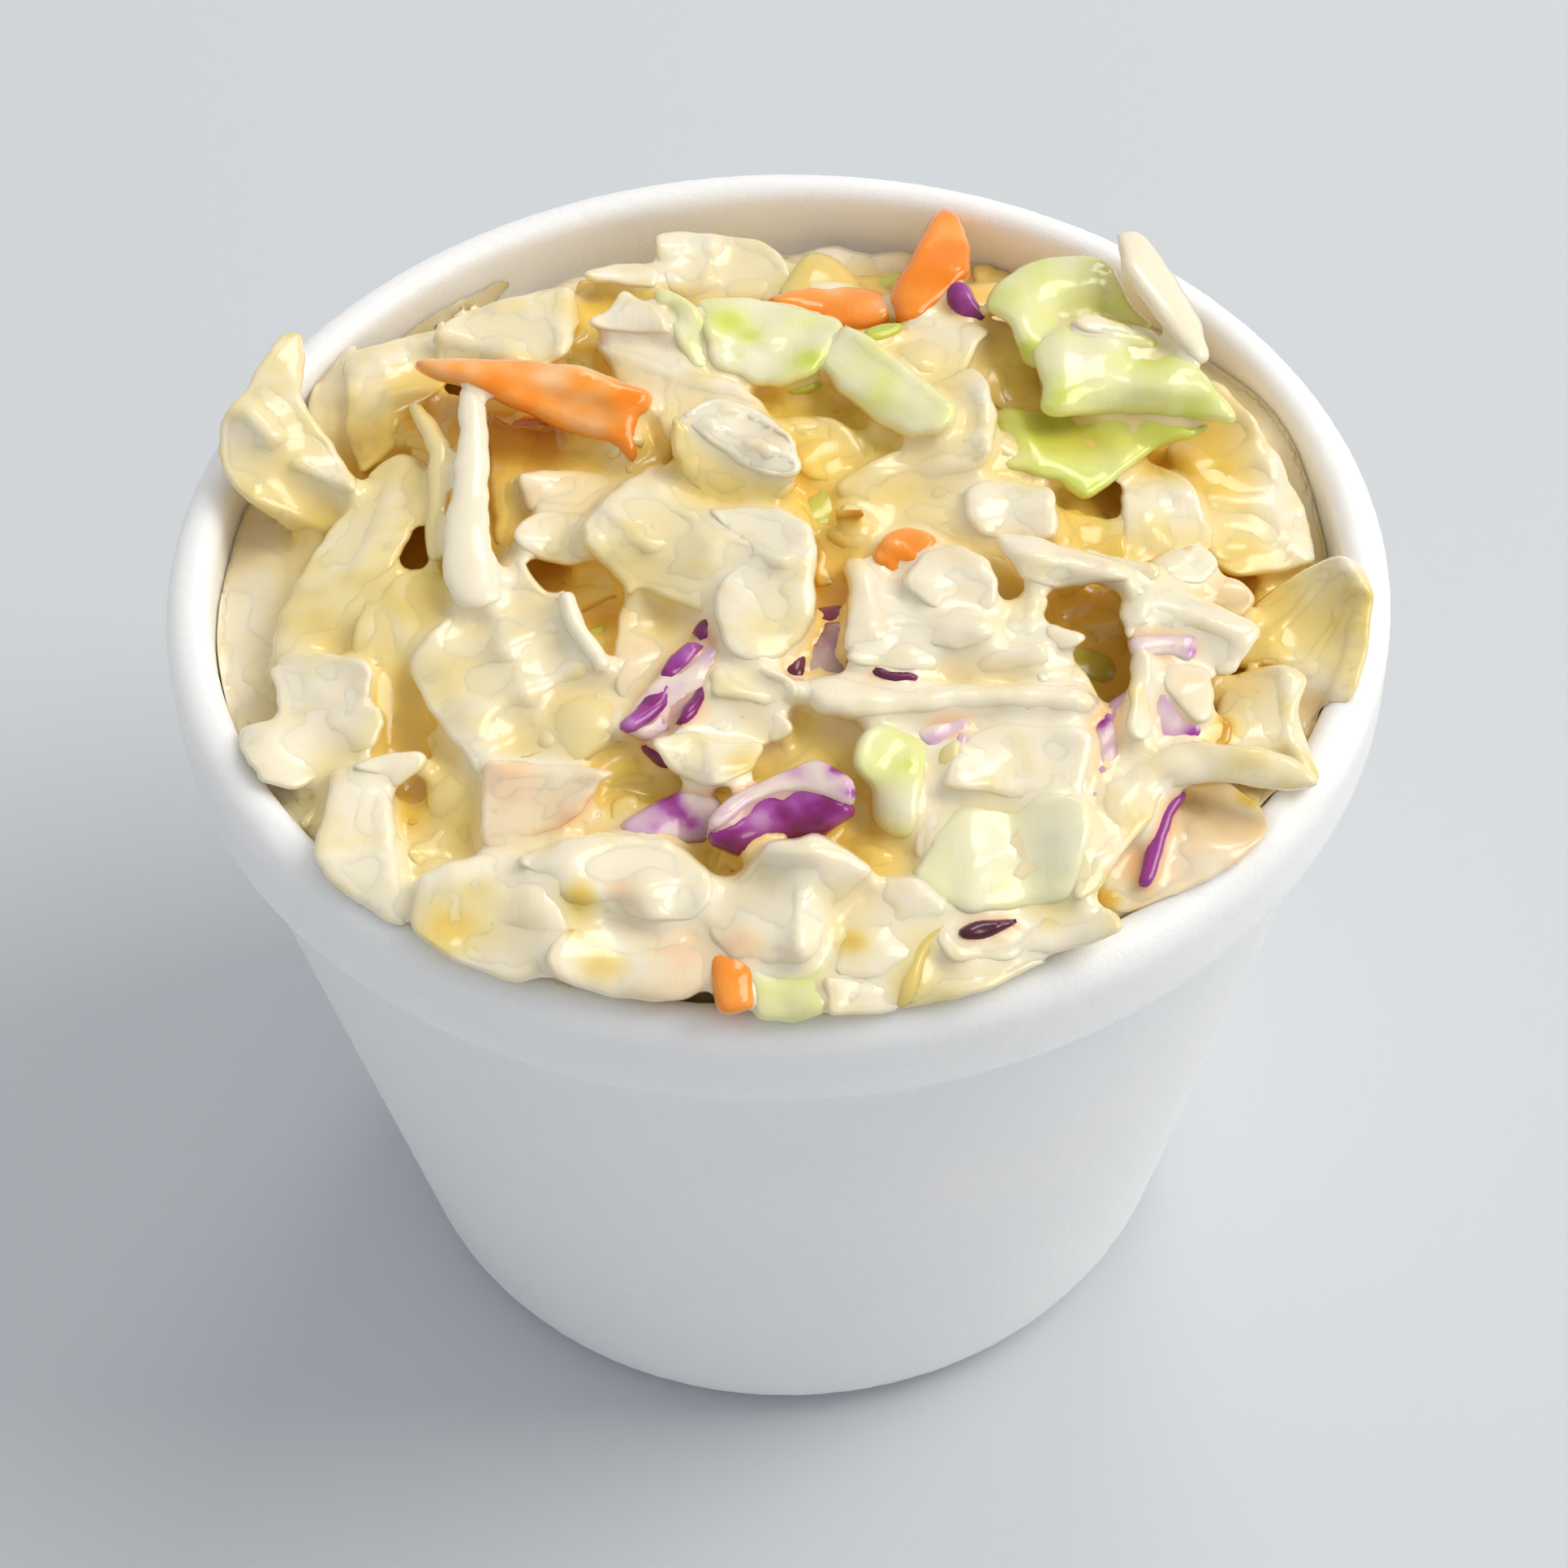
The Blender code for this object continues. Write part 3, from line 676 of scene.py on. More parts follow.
sheet("rib", [(-13.8, 22.3), (-12.5, 22.6), (-10, 22.3), (-8.2, 22), (-7, 20), (-6, 18), (-5, 16.8), (-3.5, 16.3),
              (-2, 15.4), (-0.9, 13.8), (0, 12), (1, 10), (-2, 11), (-5, 13), (-7, 11), (-7.2, 8.5), (-8.2, 10.5),
              (-8.8, 12), (-9, 14), (-10, 15.2), (-12, 16.3), (-12, 18), (-13, 20)], 3.6, (0.08, -0.06), thick=2.2,
      tint=0.1, crown=0.6, folds=[(-12.5, 20.5, -5, 15.5, 0.4, 0.8)], stains=[(-0.5, 12.5, 1.5, 0.6)])
sheet("leaf", [(-10.4, 12.6), (-9, 13.4), (-7.4, 12.2), (-6.8, 10), (-7, 8), (-8.5, 7.6), (-10, 6.6), (-11, 6), (-11, 9)], 2.4,
      tint=-1.0, crown=0.4)
sheet("leaf", [(-11.2, 27.5), (-10, 26), (-8.5, 25), (-7.9, 23), (-7.2, 21.5), (-10, 21.8), (-13, 22.4), (-14.2, 23.5),
               (-12.2, 25), (-11.7, 27)], 3.0, (0.1, -0.15), tint=-0.05, crown=0.8)
sheet("green", [(-8.8, 27.2), (-7, 26.2), (-5.6, 24.5), (-4.8, 22), (-4.3, 20), (-4.8, 18), (-5.6, 17.3), (-6.5, 19),
                (-7, 21), (-8, 23.2), (-8.8, 25.4)], 3.6, (0.1, -0.12), tint=-0.15, crown=0.5,
      folds=[(-7.8, 24.6, -7.5, 23.2, -1.0, 0.4)])
sheet("green", [(-5.6, 25.6), (-3, 26), (0, 25.5), (4, 23.6), (5.6, 22.5), (4.5, 20), (4, 18), (2.8, 16.3), (1, 15.6), (-1, 15.8),
                (-2.5, 16.8), (-4.5, 17.8), (-4.8, 21)], 2.9, (0.0, -0.08), tint=-0.3, crown=1.0,
      stains=[(-3.2, 22.8, 1.6, 0.75), (-1.6, 21, 1.0, 0.7), (3, 18, 1.5, 0.8), (-2.4, 18.9, 0.4, 0.8), (-1, 18, 1.5, -0.9)])
sheet("green", [(0.8, 15), (2.5, 16), (4, 17.6), (4.6, 17.2), (3.6, 15.6), (2.2, 14.8)], 2.4, tint=1.6)
sheet("leaf", [(-1.8, 16.2), (1, 15.6), (4, 16), (6.6, 13), (6.6, 11), (4, 12), (1.5, 12.4), (-0.4, 13.6)], 0.4, tint=1.9)
sheet("rib", [(1, 11.9), (2, 12.5), (3.7, 12.4), (5, 11.6), (6.3, 10.3), (7, 8.6), (7, 7.3), (5.5, 6.3), (4.8, 5), (3, 4.6),
              (1.5, 6), (1.2, 9), (0.4, 10.7)], 2.9, (0.0, -0.05), thick=2.0, tint=0.5, crown=0.7)
sheet("green", [(5, 20.7), (5.7, 22.1), (6.5, 21.2), (8, 19.5), (10, 16.7), (12.3, 13.6), (13.4, 12.2), (13.1, 10.5),
              (12, 9.4), (10, 9.4), (8, 10.8), (6.5, 12.8), (5, 15), (3.8, 17.5), (4.2, 19.5)], 4.9, (0.1, -0.04),
      thick=2.0, tint=-0.15, crown=0.3, along=-50, crease=0.02, rounding=0.15, folds=[(6.5, 20.6, 13, 12, 0.35, 0.5)])
sheet("leaf", [(8.2, 19.8), (9.6, 22.2), (11, 23.4), (12.5, 24), (14, 23.7), (15.6, 22.6), (16.8, 21), (15.4, 19.5),
               (14.9, 16.8), (14, 15.8), (12, 15.4), (10.6, 15.2), (9, 17.5)], 2.4, (0.0, -0.12), tint=0.2, crown=0.8,
      crinkle=0.4, stains=[(13.5, 18, 2.0, 0.6)])
sheet("leaf", [(10.6, 15), (13.5, 16.2), (15, 17.2), (15.9, 16), (16.3, 13.5), (16.4, 10.5), (16, 8), (15.1, 5.8),
               (13.5, 4), (12, 2.6), (10.3, 1), (9.8, -0.1), (8.8, -0.7), (7.5, -0.3), (6, 1), (5, 2), (4.2, 4.4),
               (5.2, 5.8), (7, 7), (9, 8.2), (11, 8.8), (12.8, 9), (13.8, 10.5), (13.6, 12.5)], 3.9, (0.1, 0.1), tint=0.4,
      crown=0.8, folds=[(15.5, 14, 15.4, 7.5, 0.8, 0.8), (8, 6, 14, 6.5, 0.5, 1.3)],
      stains=[(12, 7, 2.5, 0.0), (8, 2, 2.0, 0.9), (14.8, 9, 1.0, -0.1)])
sheet("leaf", [(2.7, -2), (3, 0.6), (5, 1.3), (6.5, 1), (8, -0.8), (7.5, -2.5), (5.3, -2.5), (5, -5), (4.4, -5.7), (3.2, -5.7),
               (2.6, -6)], 2.4, tint=1.2, crown=0.5)
sheet("green", [(1.7, 3), (2.4, 4.9), (3.6, 5), (4.4, 4), (4.4, 2.6), (5, 1), (3.2, 0), (1.2, 1.2)], 2.4, tint=0.35, thick=1.4)
strip("leaf", [(4.4, 1.5, 3.9), (6.4, 1.4, 4.2)], [0.35, 0.2], tint=2.0, thick=0.5)
sheet("leaf", [(-9, 34.6), (-7, 35.2), (-4, 34.6), (-1, 33.8), (0.3, 33), (1.5, 30.5), (2.5, 28), (2, 26.8), (0.8, 26),
               (-2, 25.5), (-6, 25.5), (-8.3, 28), (-9, 32)], -0.8, (0.0, 0.05), tint=0.15, crown=0.9, crinkle=0.4,
      folds=[(-4.3, 34, -4.8, 29, 0.6, 0.9), (1.2, 30, 2, 27.5, 0.5, 0.7)], stains=[(-1.5, 28.5, 2.5, 0.5)])
sheet("leaf", [(-14.8, 30), (-12, 31.2), (-9.5, 31.2), (-8.3, 29.5), (-9, 27.8), (-12, 28.5), (-14.2, 28.8)], -0.2, tint=0.2)
sheet("leaf", [(-15.2, 30), (-10, 29), (-8, 27), (-10.5, 23.5), (-13, 21), (-11, 17.5), (-14, 17.6), (-16, 20)], -1.6, tint=1.5)
sheet("green", [(19.5, 18.5), (19.9, 16), (20.2, 14.5), (19.6, 12), (20.2, 11.2), (21.5, 11.3), (25, 11.6), (29, 11),
                (31.5, 10.5), (34, 10), (33.4, 12), (31.8, 15), (30.4, 18), (28.5, 20.5), (25.5, 22.3), (23.5, 22.1),
                (21.5, 20.6)], 4.5, (0.0, 0.1), tint=0.1, crown=1.0, crinkle=0.5,
      folds=[(21.5, 19, 21, 13, 0.5, 1.2), (24, 20.8, 28.2, 18.8, 0.7, 0.7), (26, 14, 32, 13, 0.5, 1.3)],
      stains=[(22.5, 17, 2.0, -0.6), (28.5, 16.8, 1.6, 0.5), (31, 11.3, 1.5, 0.55), (25, 19.8, 1.5, -0.8), (25, 14, 2.0, -0.1)])
sheet("green", [(16, 12), (18, 12.6), (20, 12), (25, 12), (29, 11.5), (32.4, 10), (30.8, 8.9), (28.5, 8.3), (27.1, 7),
                (25.3, 5.4), (24, 4), (23, 2.9), (22.2, 2.6), (21.5, 3.8), (20.8, 4.8), (19, 5.3), (16.4, 6.3), (16, 9)], 2.6,
      (0.05, -0.1), tint=0.55, crown=0.5, crinkle=0.5,
      stains=[(20.2, 10.5, 1.8, 1.9), (24, 6.5, 2.2, 0.15), (17.5, 7, 1.5, 0.0), (29, 9.8, 2.0, 0.9)])
sheet("green", [(16.3, 23.8), (17.2, 25.8), (19, 28), (21.5, 29.5), (24.5, 29.3), (26.5, 27.8), (27, 24), (29, 21),
                (25, 20.5), (22, 19), (20, 16.5), (18.9, 17.5), (18.4, 20), (18, 22.2)], 3.6, (0.05, -0.12), tint=0.05,
      crown=1.1, crinkle=0.5, folds=[(25.8, 27, 25.4, 22.5, -0.7, 0.9)], stains=[(19.3, 18.5, 1.2, 0.8), (26, 23, 1.5, 0.5)])
strip("leaf", [(27.3, 31, 5.4), (28.5, 26.5, 5.8), (30.3, 21.5, 5.6), (32, 16.3, 4.8)], [0.9, 1.7, 1.5, 0.5], thick=1.3, bank=-25,
      tint=-0.05, crown=0.5, crinkle=0.2)
sheet("leaf", [(22.3, 21.6), (24.5, 22.4), (26.8, 20.9), (28.4, 18.8), (27, 18.6), (24.5, 19.8), (23, 20.4)], 5.3, tint=-0.1,
      crown=0.7)
sheet("green", [(6.8, 20.6), (7.5, 21.8), (9.6, 22.5), (10.4, 22), (8.6, 20.6), (7.4, 20.1)], 3.0, tint=1.0)
sheet("leaf", [(14.6, 19.6), (16, 22.6), (18, 23), (19.2, 20), (20.4, 16), (20.6, 12), (17.5, 11.8), (15.6, 14), (14.6, 17)], 1.2,
      tint=-0.5)

# %% [markdown]
# ### The right side
# Folded leaves curve over each other here, round hollows whose golden and brown shade is painted on leaves and stains
# with a tone of 1.2 or more.

# %% Right side
sheet("leaf", [(31, 17), (34.5, 15), (36, 11), (38, 6), (39.5, 0), (39.5, -4), (36.5, -5), (33, -5.5), (30.5, -3), (30, 0),
               (30, 4), (29, 8), (31, 12)], -0.6, (-0.1, 0.0), tint=0.3, crown=1.0, crinkle=0.25,
      folds=[(36, 12, 37.5, -2, 0.5, 1.2)], stains=[(36.5, 5, 2.0, -0.3), (34, -2.5, 2.0, 0.9)])
sheet("leaf", [(26.6, 7.2), (28.2, 6.8), (30.5, 4.5), (31, 2), (31.8, -1), (31.5, -3), (27, -4), (24.6, -4.5), (25, 0),
               (25.2, 3)], 1.5, (-0.05, 0.0), tint=0.15, crown=0.9, stains=[(28, -1, 2.0, 0.8)])
sheet("leaf", [(19.8, 2), (22, 1.5), (25.2, 0.3), (25.4, -3), (25, -4.2), (22, -3.5), (19.5, -3)], 1.8, (0.0, 0.2), tint=1.25,
      crown=0.4)
sheet("leaf", [(20, 6), (26, 7), (28.5, 9), (30.8, 8.6), (31, 5.5), (29, 3.8), (26, 2.4), (25.5, -1), (20, 1)], -1.8, tint=2.0,
      crown=0.4)
sheet("rib", [(13.4, 2.5), (13.5, 0.5), (14.4, -1.2), (16, -2), (18, -2.2), (20, -1.8), (20.3, 0.5), (20.3, 3), (20.1, 3.9),
              (18.5, 4.2), (16.8, 4.9), (15, 5.1), (14, 4.5)], 4.2, (0.02, 0.08), thick=2.4, tint=0.05, crown=0.6)
sheet("leaf", [(15.2, -1.2), (17.5, -1), (20, -2.2), (21.3, -3), (22.5, -3.2), (24, -4.3), (25, -6), (22, -6.3), (20, -6.7),
               (18.5, -6.5), (17, -5.6), (16.2, -3.5)], 5.4, (0.02, 0.15), tint=-0.05, crown=1.1,
      folds=[(17, -3, 23, -5.6, 0.5, 0.8)])
sheet("leaf", [(21.3, -2.4), (23, -2.9), (25, -3.8), (26.5, -4.2), (27.3, -5), (26.4, -6.6), (24, -7), (22, -6)], 4.3,
      (0.0, 0.1), tint=0.1, crown=0.6)
sheet("leaf", [(26.4, -4), (28, -2.9), (29.7, -2.1), (31.1, -2.9), (31.6, -4.5), (30.6, -6.6), (28, -6.4), (26.5, -5.6)], 3.2,
      tint=0.0, crown=1.2, stains=[(29.3, -2.7, 0.4, -1.0)])
sheet("leaf", [(28.5, -7), (31, -5.6), (33, -5.6), (34, -8), (32.5, -10), (30, -8.6)], 2.4, tint=-0.6, crown=0.5)
sheet("leaf", [(24.6, -6.6), (26.5, -5.6), (28.5, -6.8), (31, -8.8), (32.7, -9.8), (33.7, -11.2), (32.2, -13.7), (31.4, -15.2),
               (30, -15.6), (29, -13.7), (27.5, -11.2), (25.4, -10.3), (24.2, -12), (23.8, -9)], 4.1, (0.03, -0.05),
      tint=0.1, crown=1.3, folds=[(25.6, -6.5, 25.2, -10, 0.6, 0.7), (27, -8, 32, -12, 0.5, 1.2)])
sheet("red", [(24.3, -11.4), (26, -10.1), (28, -9.7), (29.1, -11), (29, -13.2), (28.2, -14.2), (26.8, -13.2), (25.6, -13.4),
              (24.4, -13.6)], 4.0, tint=1.15, crown=0.8, stains=[(28.8, -11.5, 0.8, 0.72), (28.6, -13, 0.6, 0.6)])
sheet("leaf", [(24.4, -12.3), (25.6, -12.4), (25.7, -16), (25.4, -20), (24.7, -21.6), (23.3, -21), (23.8, -17), (24.2, -14.5)],
      4.3, tint=0.15, crown=0.9)
sheet("leaf", [(26.6, -13.2), (28.3, -13.4), (29.7, -15), (29.8, -17), (29.3, -19.5), (28.2, -20), (26.8, -17.8),
               (25.8, -15.5)], 4.1, tint=-0.2, crown=0.9)
sheet("red", [(25.2, -15), (26.2, -16), (28.2, -19), (28.8, -20.8), (27.3, -21.9), (25, -21.6), (23.2, -21.6), (21.8, -25.4),
              (20.8, -27.4), (20.2, -26.6), (20.9, -22.5), (21.2, -20.3), (21.4, -19), (22.5, -17.6), (24, -16.6)], 3.2,
      tint=1.0, crown=0.5, stains=[(21.8, -19.4, 0.8, 0.1), (27.9, -20.6, 0.7, 0.35), (21.2, -24, 1.0, 0.75)])
sheet("leaf", [(14.2, -11.5), (14.8, -9.2), (16.4, -7.3), (18.6, -6.6), (19.2, -7.4), (18.5, -9), (18.3, -11), (19, -12.6),
               (16, -13)], 4.5, (0.05, 0.0), tint=0.1, crown=1.0, folds=[(17.8, -7.5, 17.6, -11, 0.5, 0.6)])
sheet("leaf", [(18.5, -9.6), (20, -10.4), (21.7, -11.5), (20.8, -12.3), (18.8, -12.8), (18.2, -11)], 5.0, tint=-0.05, crown=0.6)
sheet("leaf", [(17.5, -13), (18.6, -12.9), (20.2, -12.7), (20.8, -14), (21.8, -16.5), (22, -18.4), (19, -17.5),
               (17.3, -15.5)], 3.9, (0.05, 0.0), tint=0.25, crown=0.8)
sheet("leaf", [(15, -4), (17, -6.5), (19.5, -5.8), (23, -6.2), (26, -7), (25, -12), (24, -18), (21, -21), (20, -16),
               (18.5, -12), (17, -10), (14, -7)], 0.2, (0.0, 0.0), tint=1.25, crinkle=0.5,
      stains=[(20.6, -8.5, 1.8, 2.1), (15.8, -4.5, 1.0, 0.9)])
sheet("leaf", [(4.7, -3), (5.5, -2.4), (6.5, -3.2), (7.5, -4.8), (8.8, -5.6), (10, -6.3), (12, -7.8), (14.6, -9.3),
               (15.3, -11), (13, -12.4), (10, -12), (7, -12.2), (5.5, -12), (4.6, -12.6), (4.4, -11.5), (4.8, -9), (4.9, -6)],
      4.8, (0.03, 0.0), tint=0.0, crown=1.0, thick=1.3, folds=[(6, -4, 6.5, -10.5, 0.5, 1.2), (8.5, -9, 13.5, -10.5, 0.4, 1.0)])
sheet("leaf", [(8.6, -5.7), (9.4, -4), (10.4, -2.5), (11.3, -1.8), (12.5, -1.9), (13.7, -2.4), (15, -3.8), (15.5, -5.6),
               (15.3, -8), (14.4, -9.9), (12.4, -9.7), (10, -7.9)], 5.6, (0.0, 0.05), tint=-0.05, crown=1.4, thick=1.4,
      folds=[(12, -8, 14, -6.8, -0.35, 0.7)], stains=[(12.9, -9.3, 0.8, -1.9)])
sheet("leaf", [(4.3, -12.6), (6, -11.3), (10, -10.8), (13, -11.5), (16, -12), (18.5, -11.8), (19, -14), (17, -14.8),
               (13, -14.9), (9, -14.5), (5.5, -13.8)], 4.6, (0.02, 0.1), tint=0.0, crown=0.6, thick=1.3,
      folds=[(5.5, -12.3, 17, -12.9, 0.2, 1.2)])
sheet("red", [(5.9, -13.8), (7, -13.3), (8.6, -13.8), (9.9, -15), (8.4, -15.4), (6.5, -14.8)], 4.9, tint=0.0)
sheet("carrot", [(6.8, -2.6), (7.8, -0.8), (9.2, -0.1), (10.8, -0.5), (11.5, -1.6), (10.6, -2.8), (9.7, -4.4), (8.8, -5.8),
                 (7.8, -5), (6.9, -4)], 4.6, (0.1, 0.25), tint=0.5, crown=0.1, crease=0.05,
      folds=[(7.5, -1.5, 9.8, -3.5, 0.3, 0.3), (7, -3, 9, -5, 0.3, 0.3)], stains=[(8.6, -3.3, 1.3, -0.1)])
sheet("leaf", [(9.2, -1), (9.6, 0.6), (11, 2.6), (13.8, 3.2), (14, 0), (14.8, -1.3), (14.2, -3), (12, -2.5)], 1.6, tint=1.9,
      stains=[(10.3, 0.6, 0.8, 2.6)])
sheet("rib", [(1.5, -16.8), (1.2, -14.9), (4.5, -14.2), (6, -14.9), (9.5, -15.4), (15, -15.6), (20, -15.9), (21.4, -16.4),
              (21.9, -18), (20.7, -19.2), (17, -19.1), (15, -18.7), (9, -18.4), (5, -18.7), (2.6, -18.1)], 4.9, (0.0, 0.1),
      thick=2.2, tint=0.05, crown=0.9, edge=0.9, folds=[(3, -16.4, 20, -17.4, 0.3, 0.9)])
sheet("leaf", [(16.8, -18.9), (21.4, -18.9), (21.4, -20.2), (16.8, -20)], 3.1, tint=1.6)
sheet("leaf", [(40, -3.6), (41.6, -4.8), (42, -8), (41.5, -12), (40.6, -16), (39, -19.6), (37, -22.8), (35, -20),
               (35.4, -15.4), (34.8, -14), (31, -14.5), (31.3, -12), (32.8, -9.5), (35.8, -6.5), (38.5, -4.6)], 0.6,
      (0.22, 0.08), tint=0.85, crown=0.8, crinkle=0.4,
      folds=[(40, -5, 34.5, -12, 0.35, 0.5), (40.8, -6.5, 37, -15, 0.35, 0.5), (40.9, -9, 38.5, -18, 0.35, 0.5),
             (40.2, -4.2, 41, -7, 1.2, 1.2)],
      stains=[(40.5, -4.5, 1.5, -0.1), (36.5, -18, 3.0, -0.6)])
sheet("leaf", [(30.3, -17), (30.9, -15.4), (35, -14.1), (36.8, -15.5), (35.6, -18.5), (35.9, -22), (36.9, -24.8),
               (35.6, -26.3), (32, -23), (28.2, -22.2), (29.9, -19.5)], 1.9, (0.05, 0.0), tint=0.35, crown=1.1,
      folds=[(35, -15, 34.8, -22, 0.6, 0.8), (34.8, -22, 35.8, -25.5, 0.4, 0.6)])
sheet("leaf", [(27.8, -22.6), (28.8, -20), (30, -18.6), (31, -19.5), (30.8, -22)], 2.7, tint=1.8, crown=0.2)
sheet("leaf", [(20, -27.3), (21.1, -23.5), (23.6, -21.6), (27, -21.3), (30, -21.6), (33, -22.2), (35.6, -24), (36, -25.8),
               (33, -26), (30.2, -25.2), (27, -25.2), (25.6, -26.4), (24.5, -28.5), (22.5, -31), (20.6, -34.5), (18.8, -35.5),
               (18.8, -32)], 3.1, (-0.04, 0.1), tint=0.3, crown=1.4, folds=[(22, -27, 26, -23.5, 0.4, 1.2)])
sheet("leaf", [(24.8, -26.5), (27, -25), (30.5, -25), (32.4, -27), (33, -29.5), (30.4, -32.4), (26.5, -35), (22.5, -36.8),
               (20.6, -36), (20.6, -34), (22.8, -30.5)], 0.6, (0.0, 0.05), tint=-0.45, crown=1.2,
      stains=[(22.8, -31.5, 2.2, -1.0), (21.3, -35.2, 1.3, 1.9), (31.8, -26.6, 1.2, 1.3)])
strip("red", [(27, -25.9, 2.2), (25.5, -28.5, 2.0), (24.8, -31, 1.7), (23.8, -34, 1.2)], [0.2, 0.35, 0.4, 0.25], thick=0.4,
      tint=0.35, crown=0.1)
sheet("rib", [(10.4, -24.9), (11.3, -22), (12.4, -20), (15.5, -18.7), (17, -19.3), (20, -19.6), (21.3, -20.3), (21.1, -22),
              (20.5, -25), (20.2, -27.3), (17, -27), (14, -25.8)], 4.4, (0.03, -0.02), tint=0.05, thick=2.4, crown=0.6)
sheet("green", [(9.8, -30), (9.3, -28), (9.9, -24.9), (12, -24.4), (16, -25.2), (20.3, -26.4), (20.3, -29), (19.5, -32),
              (19, -35), (16, -35.8), (12, -36), (8.8, -35), (8.3, -32.5)], 3.5, (0.02, 0.1), thick=2.2, tint=-0.5,
      crown=0.6, stains=[(9.5, -34.5, 1.6, -0.1), (18.5, -30, 2.0, -0.9)])
sheet("green", [(4.8, -22), (5.3, -20.6), (6, -19.3), (8, -18.2), (9.3, -18.8), (10, -20.8), (9.8, -22), (9.3, -25),
                (8.9, -28), (8.4, -29.6), (7, -29.2), (5.9, -27.6), (6.3, -25.6), (5.3, -23.6)], 4.2, (0.0, 0.12),
      thick=1.6, tint=-0.05, crown=0.7, stains=[(7, -26.8, 1.8, -0.9), (8.6, -23, 0.9, 0.5)])
sheet("leaf", [(9.4, -22), (10.4, -21.2), (12.3, -20.3), (11.9, -23), (11.3, -25), (11.8, -28), (10.8, -31.5), (8.6, -31.5),
               (8.5, -28), (8.9, -25)], 3.6, (0.0, 0.12), tint=0.2, crown=0.6, thick=1.4, stains=[(10.4, -22.5, 1.5, 0.9)])
sheet("red", [(8.6, -18.4), (12.6, -18.3), (13, -19.8), (12, -21.4), (10.4, -22), (9.2, -20.6)], 4.0, tint=1.25, crown=0.4,
      stains=[(10.4, -20.6, 0.9, 0.8)])
strip("red", [(12.4, -20.5, 3.9), (11.9, -22.5, 3.9), (11.2, -24.8, 3.6)], [0.3, 0.4, 0.3], thick=0.5, tint=1.0)

# %% [markdown]
# ### The centre
# A lumpy white leaf crowns the heap, and red cabbage lies in the hollow before it.

# %% Centre
sheet("leaf", [(-13.9, 1), (-12.9, 3.2), (-12, 4.6), (-11, 5.6), (-9.8, 6.5), (-8.5, 7.7), (-7.3, 7.7), (-7.1, 5), (-6.4, 3.6),
               (-5, 2.9), (-3, 2.4), (-0.5, 2.4), (0, 0), (-0.8, -2.3), (-3, -4), (-4, -5.5), (-4.2, -7), (-4.1, -9.1),
               (-5, -8.6), (-7, -7.1), (-8.5, -6.1), (-10, -5.5), (-10.6, -6.5), (-11.1, -4.7), (-12, -3.8), (-13, -2.2),
               (-13.8, -0.8)], 4.6, (0.08, 0.02), tint=0.35, thick=1.6, crown=1.3, crinkle=0.5, along=-35,
      folds=[(-12, 3, -9, -1.5, 0.7, 1.0), (-8, 4.5, -4.5, -1.5, 0.6, 1.2), (-6, 1.8, -0.8, -2.4, 0.7, 0.9)],
      stains=[(-10, -4, 3.0, 0.7), (-8, 6, 2.5, 0.0)])
sheet("leaf", [(-5, 2.4), (-3, 2.3), (-1, 2.5), (1.2, 1.7), (2.4, 0.3), (2.8, -0.3), (2.9, -3), (2.6, -5.1), (2.7, -7),
               (2.5, -9.3), (1.8, -10.6), (1.1, -11.9), (0, -13.1), (-1.4, -13.4), (-2.8, -12.8), (-4, -11.6), (-4.1, -10),
               (-4.5, -8.3), (-4.4, -5.8), (-3.4, -4.1), (-1.8, -2.6), (-3.6, -0.6)], 5.9, (0.03, 0.02), tint=0.05,
      thick=1.6, crown=1.2, crinkle=0.35, along=-40,
      folds=[(-4.5, 1.5, 0.2, -3.6, 0.6, 0.7), (-1.8, -2.6, -3.9, -5.2, 0.4, 0.5)], stains=[(-0.5, -9.5, 2.5, 0.5)])
sheet("leaf", [(-10.9, -6), (-10, -4.5), (-8, -5), (-6, -6), (-3.8, -8), (-3.6, -11), (-4.5, -14), (-6.5, -17), (-8.5, -20),
               (-10.2, -19.6), (-11.2, -18.4), (-11.1, -16.7), (-11.7, -13.8), (-11.7, -11.8), (-11.4, -8.6)], 2.8,
      (0.0, 0.08), tint=-0.25, crown=0.6, crinkle=0.2)
# Leaves with a tone of 1.4 or more in this block are painted shade: golden and brown sheets in the gaps round the red
# cabbage.
sheet("leaf", [(-12.8, -14.5), (-11, -13.5), (-10, -18), (-10, -20.5), (-11.4, -20)], -1.0, tint=2.4)
sheet("red", [(-5, -8.3), (-4.3, -9.2), (-3.7, -11), (-4.2, -13), (-5, -16), (-5.6, -17.6), (-6.7, -19.1), (-8.2, -19.6),
              (-9.3, -20.3), (-10.1, -19.2), (-11.1, -18.8), (-10, -17), (-8.2, -13.9), (-7.4, -12.2), (-6.2, -10.8),
              (-5.9, -9.6)], 3.9, (0.02, 0.05), thick=1.0, tint=1.25, crown=0.35, rounding=0.3,
      folds=[(-4.5, -11.5, -9.8, -19.4, 0.3, 0.6)])
sheet("red", [(-5.95, -9.9), (-4.95, -8.6), (-4.3, -9.2), (-5.2, -10.9)], 4.35, thick=0.6, tint=0.0, rounding=0.0)
sheet("red", [(-5.4, -11.3), (-6.2, -11.0), (-7.4, -12.2), (-8.2, -13.9), (-7.2, -14.5), (-6.2, -12.9)], 4.35, thick=0.6,
      tint=0.25, rounding=0.25)
sheet("red", [(-7.3, -14.8), (-8.5, -14.7), (-9.4, -16.3), (-11, -18.6), (-10.3, -19.1), (-9, -17.9), (-8, -16.9)], 4.25,
      thick=0.6, tint=0.3, rounding=0.25, stains=[(-10.3, -18.4, 0.9, 0.65)])
